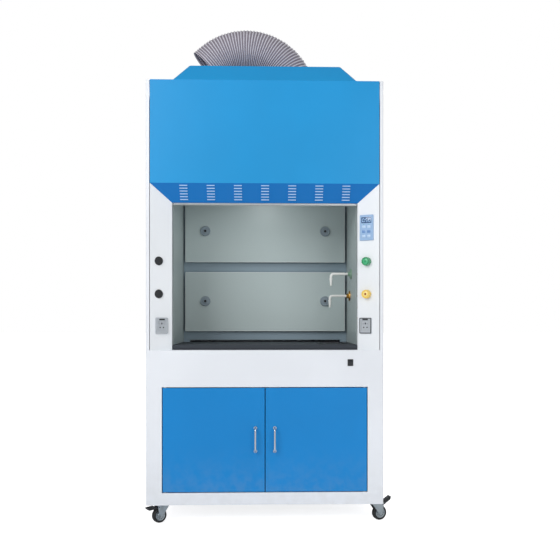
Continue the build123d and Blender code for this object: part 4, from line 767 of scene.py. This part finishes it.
@dataclass
class ExhaustHose:
    """The ribbed hose over the exhaust collar, bent over to the left."""

    centre: tuple[float, float, float] = (-0.104, 0.05, 2.245)
    bend: float = 0.271
    radius: float = 0.125
    foot_z: float = 2.1963
    turn: float = math.radians(132)
    cuff: float = 0.040
    pitch: float = 0.0127
    rings_per_fold: int = 8
    facets: int = 64
    skin: float = 1.2 * MM
    fold_depth: float = 6.2 * MM
    fold_change: float = 1.6 * MM
    sway: float = 0.7 * MM
    sway_rate: float = 61.0
    foot_share: float = 0.3
    foot_fade: float = 0.09
    mouth_fade: float = 0.02

    def rings(self, length: float) -> int:
        """How many rings of facets a length takes."""
        return max(2, round(length / self.pitch * self.rings_per_fold))

    def along(self, point: Vector) -> tuple[float, Vector, float]:
        """Where a point of the tube lies.

        Args:
            point: The point.

        Returns:
            The length along the centreline, the centreline's point there, and how far
            round towards the outside of the bend it is, from -1 to 1.
        """
        middle = Vector(self.centre)
        foot = self.centre[2] - self.foot_z
        flat = Vector((point.x - middle.x, point.z - middle.z))
        angle = math.atan2(flat.y, flat.x)
        if flat.y <= 0 and point.x > middle.x:
            spine = Vector((middle.x + self.bend, middle.y, point.z))
            return point.z - self.foot_z, spine, (point.x - spine.x) / self.radius
        angle = min(angle if angle >= 0 else angle + math.tau, self.turn)
        out = Vector((math.cos(angle), 0.0, math.sin(angle)))
        ahead = Vector((-math.sin(angle), 0.0, math.cos(angle)))
        past = max(0.0, (point - middle).dot(ahead))
        spine = middle + out * self.bend + ahead * past
        return foot + self.bend * angle + past, spine, (point - spine).dot(out) / self.radius

    def build(self) -> None:
        """Makes the hose in place of its plain solid."""
        mesh = Mesh("exhaust_hose", Matrix.Identity(4))
        middle = Vector(self.centre)
        foot = self.centre[2] - self.foot_z
        start = Matrix.Translation((middle.x + self.bend, middle.y, self.foot_z))
        made = bmesh.ops.create_circle(mesh.bm, segments=self.facets, radius=self.radius, matrix=start)
        edges = edges_of(made["verts"])
        end = Vector((-math.sin(self.turn), 0.0, math.cos(self.turn)))
        for angle, travel in ((0.0, Vector((0, 0, foot))), (self.turn, Vector()), (0.0, end * self.cuff)):
            steps = self.rings(travel.length + self.bend * angle)
            made = bmesh.ops.spin(
                mesh.bm, geom=edges, cent=middle, axis=(0, -1, 0), angle=angle, steps=steps,
                dvec=travel / steps,
            )
            edges = [item for item in made["geom_last"] if isinstance(item, bmesh.types.BMEdge)]
        bmesh.ops.remove_doubles(mesh.bm, verts=mesh.bm.verts, dist=1e-5)
        self.fold(mesh.bm)
        bmesh.ops.recalc_face_normals(mesh.bm, faces=mesh.bm.faces)
        for face in mesh.bm.faces:
            face.smooth = True
        piece = mesh.placed(Palette.HOSE, "cabinet")
        wall = piece.modifiers.new("wall", "SOLIDIFY")
        wall.thickness = self.skin
        wall.offset = -1.0
        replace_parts(piece, "flexible_duct")

    def fold(self, bm: bmesh.types.BMesh) -> None:
        """Draws the skin in between the turns of the wire."""
        layer = bm.verts.layers.float.new("ridge")
        total = self.centre[2] - self.foot_z + self.bend * self.turn + self.cuff
        for vert in bm.verts:
            length, spine, outward = self.along(vert.co)
            spoke = vert.co - spine
            side = math.atan2(spoke.y, outward * self.radius)
            wave = 0.5 + 0.5 * math.cos(math.tau * (length / self.pitch) + side)
            ridge = wave ** 1.5
            deep = self.fold_depth - self.fold_change * outward
            deep *= min(1.0, self.foot_share + length / self.foot_fade)
            deep *= min(1.0, max(0.0, (total - length) / self.mouth_fade))
            sway = self.sway * math.sin(length * self.sway_rate + side * 2.0)
            shrink = deep * (1.0 - ridge) + abs(sway)
            vert[layer] = ridge
            vert.co = spine + spoke * (1.0 - shrink / self.radius)


@dataclass
class CasterWheel:
    """A caster wheel, in millimetres: rubber tyre, pressed hub and a ring of holes in each side, drawn as
    dark discs of painted shade.
    """

    name: str
    radius: float = 37.4
    half_width: float = 14.8
    bore: float = 4.1
    boss: float = 9.0
    web: tuple[float, float] = (13.0, 22.0)
    web_inset: float = 5.0
    holes: int = 10
    hole_circle: float = 17.6

    def __post_init__(self) -> None:
        """Finds the wheel's body and its axle."""
        spin = joint(f"wheel_{self.name}_spin")
        self.body = f"wheel_{self.name}"
        self.place = basis(spin["pos_m"], spin["axis"])

    def build(self) -> None:
        """Makes the wheel in place of its solid."""
        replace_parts(self.tyre(), f"caster_wheel_{self.name}")
        self.hub()
        self.hole_shades()

    def tyre(self) -> bpy.types.Object:
        """Turns the tyre from a list of depths below the tread and insets from the side."""
        shoulder = ((12, 4), (10, 1.5), (5, 0), (1.6, 2.6), (0.3, 6), (0, 10))
        profile = [mm(self.radius - depth, self.half_width - inset) for depth, inset in shoulder]
        mesh = Mesh(f"tyre_{self.name}", self.place)
        mesh.turned(mirrored(profile), 72)
        return mesh.done(Palette.RUBBER, self.body)

    def hub(self) -> None:
        """Turns the hub: a boss round the bore, and a web that is pressed in on each side."""
        inner, outer = self.web
        sunk = self.half_width - self.web_inset
        profile = [
            mm(self.bore, self.half_width + 0.9), mm(self.boss, self.half_width + 0.9),
            mm(inner - 2, sunk + 2), mm(inner, sunk), mm(outer, sunk), mm(outer + 2, sunk + 2),
            mm(self.radius - 11.5, self.half_width - 2.6),
        ]
        mesh = Mesh(f"hub_{self.name}", self.place)
        mesh.turned(mirrored(profile), 48)
        mesh.done(Palette.ZINC, self.body)

    def hole_shades(self) -> None:
        """Adds dark discs of painted shade where the holes of both webs are."""
        rim = (mm(0, 0.1), mm(1.9, 0.1), mm(2.3, 0.35), mm(2.6, 0), mm(0, -0.2))
        proud = self.half_width - self.web_inset + 0.1
        mesh = Mesh(f"hub_hole_shades_{self.name}", self.place)
        for way in (-1, 1):
            for index in range(self.holes):
                turn = Matrix.Rotation(math.tau * index / self.holes, 4, "Z")
                spot = turn @ Matrix.Translation(mm(self.hole_circle, 0, way * proud))
                mesh.turned([(radius, way * height) for radius, height in rim], 10, spot)
        # Black discs stand in for the holes: painted shade.
        mesh.done(Palette.BLACK, self.body)


PEDAL_PRESSED = math.radians(-35)


@dataclass
class PedalGrip:
    """Ribs across a brake pedal's pad, in millimetres from the pedal's hinge."""

    name: str
    tilt: float = 0.0
    ribs: int = 5
    heel: Point = (17.0, 19.6, 0.0)
    toe: Point = (39.0, 32.6, 0.0)
    rib: Point = (2.2, 1.8, 24.8)
    rounding: float = 0.6

    def build(self) -> None:
        """Adds the ribs on the pad's upper face."""
        hinge = joint(f"brake_{self.name}_press")
        place = basis(hinge["pos_m"], hinge["axis"]) @ Matrix.Rotation(self.tilt, 4, "Z")
        heel, toe = Vector(mm(*self.heel)), Vector(mm(*self.toe))
        lean = Matrix.Rotation(math.atan2(toe.y - heel.y, toe.x - heel.x), 4, "Z")
        mesh = Mesh(f"pedal_ribs_{self.name}", place)
        for index in range(self.ribs):
            spot = heel.lerp(toe, index / (self.ribs - 1))
            mesh.place = place @ Matrix.Translation(spot) @ lean
            mesh.block((0, 0, 0), mm(*self.rib), self.rounding * MM)
        mesh.done(Palette.BLACK, f"brake_{self.name}")


@dataclass
class Column:
    """The angled face of a front column."""

    side: int
    outer: float = 0.580
    inner: float = 0.475
    front: float = -0.400
    depth: float = 0.060

    def face(self, across: float, height: float, proud_mm: float) -> Matrix:
        """A frame on the column's face, X to the viewer's right and Z outwards.

        Args:
            across: 0 at the outer edge, 1 at the inner.
            height: Its height in metres.
            proud_mm: How far it stands off the face.

        Returns:
            The frame.
        """
        run = self.outer - self.inner
        normal = Vector((-self.side * self.depth, -run, 0)).normalized()
        origin = Vector((self.side * (self.outer - run * across), self.front + self.depth * across, height))
        return basis(origin + normal * (proud_mm * MM), normal)


@dataclass
class ControlPad:
    """The display and the keys of the control panel, in millimetres from its middle."""

    across: float = 0.57
    proud: float = 7.3
    window: Point = (55.6, 29.6, 1.0)
    window_y: float = 38.0
    digit_pitch: float = 17.0
    key: Point = (18.0, 13.0, 0.5)
    key_mark: Point = (6.0, 1.6, 0.2)
    key_x: float = 14.0
    rows: int = 3
    first_row: float = 4.0
    row_pitch: float = 24.0
    lamp_y: float = 17.5

    def build(self) -> None:
        """Adds the display, its figures, the key faces and two lamps."""
        face = Column(1).face(self.across, box_middle("control_panel").z, self.proud)
        self.display(face)
        for row in range(self.rows):
            self.keys(face, row)
        self.lamps(face)

    def display(self, face: Matrix) -> None:
        """Adds the window with its three figures and a decimal point."""
        window = Mesh("display_window", face)
        window.block(mm(0, self.window_y, -1.4), mm(*self.window), 0.3 * MM)
        window.done(Palette.DISPLAY, "cabinet")
        figures = Mesh("display_figures", face)
        for column, digit in enumerate("050", start=-1):
            self.figure(figures, Vector(mm(self.digit_pitch * column, self.window_y, -0.8)), digit)
        figures.block(mm(-10.5, 29.6, -0.8), mm(1.8, 1.8, 0.3))
        figures.done(Palette.FIGURES, "cabinet", smooth=False)

    @staticmethod
    def figure(mesh: Mesh, centre: Vector, digit: str) -> None:
        """Adds one figure made of bars.

        Args:
            mesh: The mesh that takes the bars.
            centre: The figure's middle.
            digit: The figure, 0 or 5.
        """
        wide, tall, bar, thick = mm(9, 17, 1.7, 0.3)
        flat = {"top": 1, "middle": 0, "bottom": -1}
        upright = {
            "upper_left": (-1, 1), "upper_right": (1, 1), "lower_left": (-1, -1), "lower_right": (1, -1),
        }
        unlit = {"0": {"middle"}, "5": {"upper_right", "lower_left"}}[digit]
        for name, y in flat.items():
            if name not in unlit:
                mesh.block(centre + Vector((0, y * tall / 2, 0)), (wide - bar, bar, thick))
        for name, (x, y) in upright.items():
            if name not in unlit:
                mesh.block(centre + Vector((x * wide / 2, y * tall / 4, 0)), (bar, tall / 2 - bar, thick))

    def keys(self, face: Matrix, row: int) -> None:
        """Adds the two keys of a row, each with a bar for its mark.

        Args:
            face: The frame on the panel's face.
            row: The row, 0 at the top.
        """
        mesh = Mesh(f"keys_row_{row}", face)
        for side in (-1, 1):
            x, y = side * self.key_x, self.first_row - self.row_pitch * row
            mesh.block(mm(x, y, 1.15), mm(*self.key), 0.22 * MM)
            mesh.block(mm(x, y, 1.5), mm(*self.key_mark))
        mesh.done(Palette.KEY_DARK if row == 1 else Palette.KEY, "cabinet")

    def lamps(self, face: Matrix) -> None:
        """Adds a lamp over each column of keys."""
        dome = (mm(0, 1.0), mm(1.6, 0.7), mm(2.0, -0.3))
        mesh = Mesh("key_lamps", face)
        for side in (-1, 1):
            mesh.turned(dome, 16, Matrix.Translation(mm(side * self.key_x, self.lamp_y, 0)))
        mesh.done(Palette.GREEN_HIGHLIGHT_AND_LAMP, "cabinet")


@dataclass
class SocketTrim:
    """The border, the switch and the painted shade in the pin holes of a socket plate, in millimetres from
    its middle.
    """

    side: int
    border: Palette
    across: float
    width: float = 67.0
    height: float = 82.0
    proud: float = 8.3
    rim_width: float = 3.6
    rim_inset: float = 3.4
    rim_gap: float = 2.5
    switch: Point = (30.0, 7.0, 2.4)
    switch_y: float = 31.5
    hole_place: Point = (9.0, -9.0, -2.95)
    earth: Point = (5.4, 9.0, 0.3)
    earth_y: float = 11.0

    def build(self) -> None:
        """Adds the border, the switch and the painted shade in the pin holes."""
        name = "left" if self.side < 0 else "right"
        face = Column(self.side).face(self.across, box_middle("power_sockets").z, self.proud)
        self.rim(Mesh(f"socket_border_{name}", face))
        switch = Mesh(f"socket_switch_{name}", face)
        switch.block(mm(0, self.switch_y, 0.3), mm(*self.switch), 0.8 * MM)
        switch.done(Palette.BLACK, "cabinet")
        self.pin_hole_shades(Mesh(f"socket_pins_{name}", face))

    def rim(self, mesh: Mesh) -> None:
        """Lays the four strips of the border."""
        for sign in (-1, 1):
            x, y = sign * (self.width / 2 - self.rim_inset), sign * (self.height / 2 - self.rim_inset)
            upright = mm(self.rim_width, self.height - 2 * self.rim_gap, 1.2)
            level = mm(self.width - 2 * self.rim_gap, self.rim_width, 1.2)
            mesh.block(mm(x, 0, 0), upright, 0.4 * MM)
            mesh.block(mm(0, y, 0), level, 0.4 * MM)
        mesh.done(self.border, "cabinet")

    def pin_hole_shades(self, mesh: Mesh) -> None:
        """Puts dark discs of painted shade in the two round holes and the upright earth slot."""
        x, y, z = self.hole_place
        hole = (mm(0, 0.15), mm(3.4, 0.15), mm(3.8, -0.2))
        for sign in (-1, 1):
            mesh.turned(hole, 16, Matrix.Translation(mm(sign * x, y, z)))
        mesh.block(mm(0, self.earth_y, -2.9), mm(*self.earth))
        # Black floors in the holes: painted shade.
        mesh.done(Palette.BLACK, "cabinet")


@dataclass
class KnobFace:
    """A round patch of painted highlight on a service knob's face, in a lighter copy of the knob's colour,
    with its index.
    """

    name: str
    highlight_disc: Palette
    index: Palette
    across: float = 0.56
    proud: float = 23.0

    def build(self) -> None:
        """Adds the round highlight patch and the index."""
        spindle = joint(f"{self.name}_turn")["pos_m"]
        face = Column(1).face(self.across, spindle[2], self.proud)
        # The round patch is a painted highlight.
        highlight_disc = Mesh(f"{self.name}_disc", face)
        highlight_disc.turned((mm(0, 1.6), mm(10, 1.5), mm(13.6, 0.9), mm(14.6, 0)), 48)
        highlight_disc.done(self.highlight_disc, self.name)
        index = Mesh(f"{self.name}_index", face)
        index.turned((mm(0, 2.7), mm(4.6, 2.6), mm(5.4, 1.9), mm(5.6, 1.0)), 32)
        index.done(self.index, self.name)


@dataclass
class StandoffCaps:
    """A raised ring and a dark socket screw on each cap that holds the baffle boards."""

    half_span: float = 0.346
    heights: tuple[float, float] = (1.137, 1.541)
    ring: tuple[Point, ...] = ((7, -0.4), (8, 1.6), (15, 1.8), (17, 0.6), (17.4, -0.4))
    screw: tuple[Point, ...] = ((0, 0.5), (3.2, 0.5), (3.4, 2.2), (6.2, 2.2), (6.8, 1.4), (6.8, -0.4))

    def build(self) -> None:
        """Adds a ring and a screw to each cap."""
        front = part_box("baffle_standoffs")[0][1]
        rings = Mesh("cap_rings", Matrix.Identity(4))
        screws = Mesh("cap_screws", Matrix.Identity(4))
        for x in (-self.half_span, self.half_span):
            for z in self.heights:
                rings.place = screws.place = basis((x, front, z), (0, -1, 0))
                rings.turned([mm(*point) for point in self.ring], 48)
                screws.turned([mm(*point) for point in self.screw], 24)
        rings.done(Palette.CAP, "cabinet")
        screws.done(Palette.BLACK, "cabinet")


# Each sash's cables: how far they are from the middle, and their Y
CABLE_PLACES = {"sash_lower": (0.494, -0.31675), "sash_upper": (0.483, -0.30025)}


@dataclass
class LiftCable:
    """A wire rope between a sash and the lift shaft's drum."""

    sash: str
    x: float
    y: float
    low: float = 2.004
    high: float = 2.130
    radius: float = 1.2 * MM
    core: float = 0.504 * MM
    strands: int = 5
    turns: int = 10
    rings_per_turn: int = 10
    ferrule: tuple[Point, ...] = ((0, 9), (1.6, 9), (2.2, 8), (2.2, 0.6), (3.4, 0.4), (3.4, -0.2))

    def build(self) -> None:
        """Makes the rope and the ferrule at its lower end."""
        side = "left" if self.x < 0 else "right"
        rope = Mesh(f"{self.sash}_rope_{side}", Matrix.Identity(4))
        for index in range(self.strands):
            self.wind(rope, math.tau * index / self.strands)
        bmesh.ops.remove_doubles(rope.bm, verts=rope.bm.verts, dist=1e-7)
        piece = rope.done(Palette.ZINC, None)
        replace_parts(piece, f"{self.sash.removeprefix('sash_')}_sash_cables")
        top, foot = (self.x, self.y, self.high), (self.x, self.y, self.low)
        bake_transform(piece)
        ferrule = Mesh(f"{self.sash}_ferrule_{side}", Matrix.Translation(foot))
        ferrule.turned([mm(*point) for point in self.ferrule], 20)
        ferrule.done(Palette.BRASS, self.sash)

    def wind(self, rope: Mesh, angle: float) -> None:
        """Winds one strand round the rope's middle.

        Args:
            rope: The mesh that takes it.
            angle: Where round the rope it starts.
        """
        steps = self.turns * self.rings_per_turn
        spot = Vector((math.cos(angle), math.sin(angle), 0)) * (self.radius - self.core)
        at = Matrix.Translation(Vector((self.x, self.y, self.low)) + spot)
        made = bmesh.ops.create_circle(rope.bm, segments=6, radius=self.core, matrix=at)
        bmesh.ops.spin(
            rope.bm, geom=edges_of(made["verts"]), cent=(self.x, self.y, 0), axis=(0, 0, 1),
            angle=math.tau * self.turns, steps=steps, dvec=(0, 0, (self.high - self.low) / steps),
        )


@dataclass
class Screws:
    """A group of pan-head screws on one face."""

    name: str
    points: Sequence[Point]
    normal: Point
    radius: float = 4.5 * MM
    head: tuple[Point, ...] = ((0, 0.42), (0.35, 0.5), (0.75, 0.38), (1, 0.1), (1, -0.05))

    def build(self) -> None:
        """Makes the heads, each with a shallow dip in its crown."""
        profile = [(across * self.radius, rise * self.radius) for across, rise in self.head]
        up = (0, 1, 0) if self.normal[2] else (0, 0, 1)
        mesh = Mesh(self.name, Matrix.Identity(4))
        for point in self.points:
            mesh.place = basis(point, self.normal, up)
            mesh.turned(profile, 12)
        mesh.done(Palette.ZINC, "cabinet")


def edge_points(half_width: float, up: tuple[float, float], pitch: float) -> list[tuple[float, float]]:
    """Points along the four sides of a rectangle that is centred across.

    Args:
        half_width: How far its sides are from the middle.
        up: The lowest and highest place.
        pitch: About how far apart the points are.

    Returns:
        The points as (across, up).
    """
    def spread(low: float, high: float) -> list[float]:
        """Even steps from low to high."""
        count = max(1, round((high - low) / pitch))
        return [low + (high - low) * step / count for step in range(count + 1)]

    sides = (-half_width, half_width)
    rows = [(x, z) for z in up for x in spread(*sides)]
    return rows + [(x, z) for x in sides for z in spread(*up)[1:-1]]


@dataclass
class Fastenings:
    """The screws of the rear panel, the carcass, the collar and the roof."""

    panel_half_width: float = 0.570
    panel_heights: tuple[float, float] = (0.890, 2.175)
    panel_pitch: float = 0.19
    carcass_half_width: float = 0.580
    carcass_heights: tuple[float, float] = (0.125, 0.735)
    carcass_pitch: float = 0.29
    flange_reach: float = 0.127
    flange_top: float = 2.196
    roof_depths: tuple[float, float] = (-0.065, 0.385)
    roof_pitch: float = 0.3

    def build(self) -> None:
        """Adds each group of screws."""
        rear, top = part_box("rear_panel")[1][1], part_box("roof_panel")[1][2]
        panel = edge_points(self.panel_half_width, self.panel_heights, self.panel_pitch)
        Screws("rear_panel_screws", [(x, rear, z) for x, z in panel], (0, 1, 0)).build()
        carcass = edge_points(self.carcass_half_width, self.carcass_heights, self.carcass_pitch)
        Screws("carcass_screws", [(x, rear, z) for x, z in carcass], (0, 1, 0)).build()
        middle, reach = box_middle("exhaust_collar"), (-self.flange_reach, self.flange_reach)
        flange = [(middle.x + x, middle.y + y, self.flange_top) for x in reach for y in reach]
        Screws("collar_screws", flange, (0, 0, 1)).build()
        roof = edge_points(self.panel_half_width, self.roof_depths, self.roof_pitch)
        Screws("roof_screws", [(x, y, top) for x, y in roof], (0, 0, 1)).build()


@dataclass
class LampPane:
    """The frosted pane that closes the ceiling's lamp opening."""

    centre: Point = (0.0, -0.160, 1.7622)
    size: Point = (0.599, 0.109, 0.003)

    def build(self) -> None:
        """Makes the pane."""
        pane = Mesh("lamp_window", Matrix.Identity(4))
        pane.block(self.centre, self.size, 0.8 * MM)
        pane.done(Palette.ACRYLIC, "cabinet")


@dataclass(frozen=True)
class Lamp:
    """A square soft lamp: its place, the point that it faces, its side and its power in watts."""

    name: str
    place: Point
    aim: Point
    size: float
    power: float

    def hang(self) -> None:
        """Adds the lamp to the scene."""
        data = bpy.data.lights.new(self.name, "AREA")
        data.size = self.size
        data.energy = self.power
        lamp = bpy.data.objects.new(self.name, data)
        lamp.location = self.place
        ahead = Vector(self.aim) - Vector(self.place)
        lamp.rotation_euler = ahead.to_track_quat("-Z", "Y").to_euler()
        bpy.context.scene.collection.objects.link(lamp)


WHITE_LIGHT: Colour = (1.0, 1.0, 1.0, 1.0)
LAMPS = (
    Lamp("key", (-2.6, -4.2, 3.4), (0.0, -0.2, 1.2), 2.6, 114.0),
    Lamp("fill", (2.4, -5.0, 2.0), (0.0, 0.0, 1.2), 2.4, 50.0),
    Lamp("back", (1.5, 3.6, 3.4), (0.0, 0.0, 1.4), 2.4, 60.0),
    Lamp("chamber", (0.0, -0.16, 1.752), (0.0, 0.0, 1.2), 0.10, 1.1),
)


@dataclass
class Studio:
    """Camera, background, floor and lamps."""

    sensor_mm: float = 36.0
    lens_mm: float = 53.4
    shift: tuple[float, float] = (-0.0232, 0.0714)
    camera_place: Point = (0.009, -4.6, 1.028)
    camera_turn: float = math.radians(-1.8)
    camera_reach: float = 200.0
    ambient: float = 0.42
    floor_size: float = 60.0
    floor_colour: Colour = (0.93, 0.93, 0.935, 1.0)
    floor_glow: float = 0.72

    def camera(self) -> None:
        """Stands the camera where the photograph was taken, level and turned a little."""
        data = bpy.data.cameras.new("camera")
        data.sensor_width = self.sensor_mm
        data.lens = self.lens_mm
        data.shift_x, data.shift_y = self.shift
        data.clip_end = self.camera_reach
        camera = bpy.data.objects.new("camera", data)
        camera.location = self.camera_place
        camera.rotation_euler = (math.radians(90), 0.0, self.camera_turn)
        bpy.context.scene.collection.objects.link(camera)
        bpy.context.scene.camera = camera

    def background(self) -> None:
        """Sets a background that is seen white and lights the hood at a lower strength."""
        world = bpy.data.worlds.new("world")
        bpy.context.scene.world = world
        world.use_nodes = True
        world.node_tree.nodes.clear()
        tree = Tree(world.node_tree)
        lit, seen = (
            tree.node("ShaderNodeBackground", {}, {"Color": WHITE_LIGHT, "Strength": strength})
            for strength in (self.ambient, 1.0)
        )
        mixed = tree.node("ShaderNodeMixShader", {}, {0: tree.seen(), 1: lit, 2: seen})
        tree.plug(world.node_tree.nodes.new("ShaderNodeOutputWorld").inputs["Surface"], mixed)

    def floor(self) -> None:
        """Lays a wide floor that is seen near white and keeps the hood's shadow."""
        bm = bmesh.new()
        bmesh.ops.create_grid(bm, x_segments=1, y_segments=1, size=self.floor_size)
        data = bpy.data.meshes.new("floor")
        bm.to_mesh(data)
        bm.free()
        floor = bpy.data.objects.new("floor", data)
        bpy.context.scene.collection.objects.link(floor)
        shader = Shader("floor_white")
        shader.finish(
            Base_Color=self.floor_colour,
            Roughness=0.7,
            Specular_IOR_Level=0.1,
            Emission_Color=WHITE_LIGHT,
            Emission_Strength=shader.seen() * self.floor_glow,
        )
        data.materials.append(shader.material)

    def build(self) -> None:
        """Sets the whole studio up."""
        bpy.context.scene.view_settings.view_transform = "Standard"
        self.camera()
        self.background()
        self.floor()
        for lamp in LAMPS:
            lamp.hang()


def main() -> None:
    """Builds the studio and every piece, in order."""
    logging.basicConfig(level=logging.INFO, format="%(message)s")
    Studio().build()
    dress_nodes()
    ExhaustHose().build()
    for name in ("front_left", "front_right", "rear_left", "rear_right"):
        CasterWheel(name).build()
    PedalGrip("front_left", tilt=PEDAL_PRESSED).build()
    PedalGrip("front_right").build()
    ControlPad().build()
    SocketTrim(-1, Palette.SOCKET, across=0.52).build()
    SocketTrim(1, Palette.BLACK, across=0.62).build()
    KnobFace("water_knob", Palette.GREEN_HIGHLIGHT_AND_LAMP, Palette.GREEN).build()
    KnobFace("gas_knob", Palette.YELLOW_HIGHLIGHT, Palette.RED).build()
    StandoffCaps().build()
    for side in (-1, 1):
        for sash, (x, y) in CABLE_PLACES.items():
            LiftCable(sash, side * x, y).build()
    Fastenings().build()
    LampPane().build()


if __name__ == "__main__":
    main()
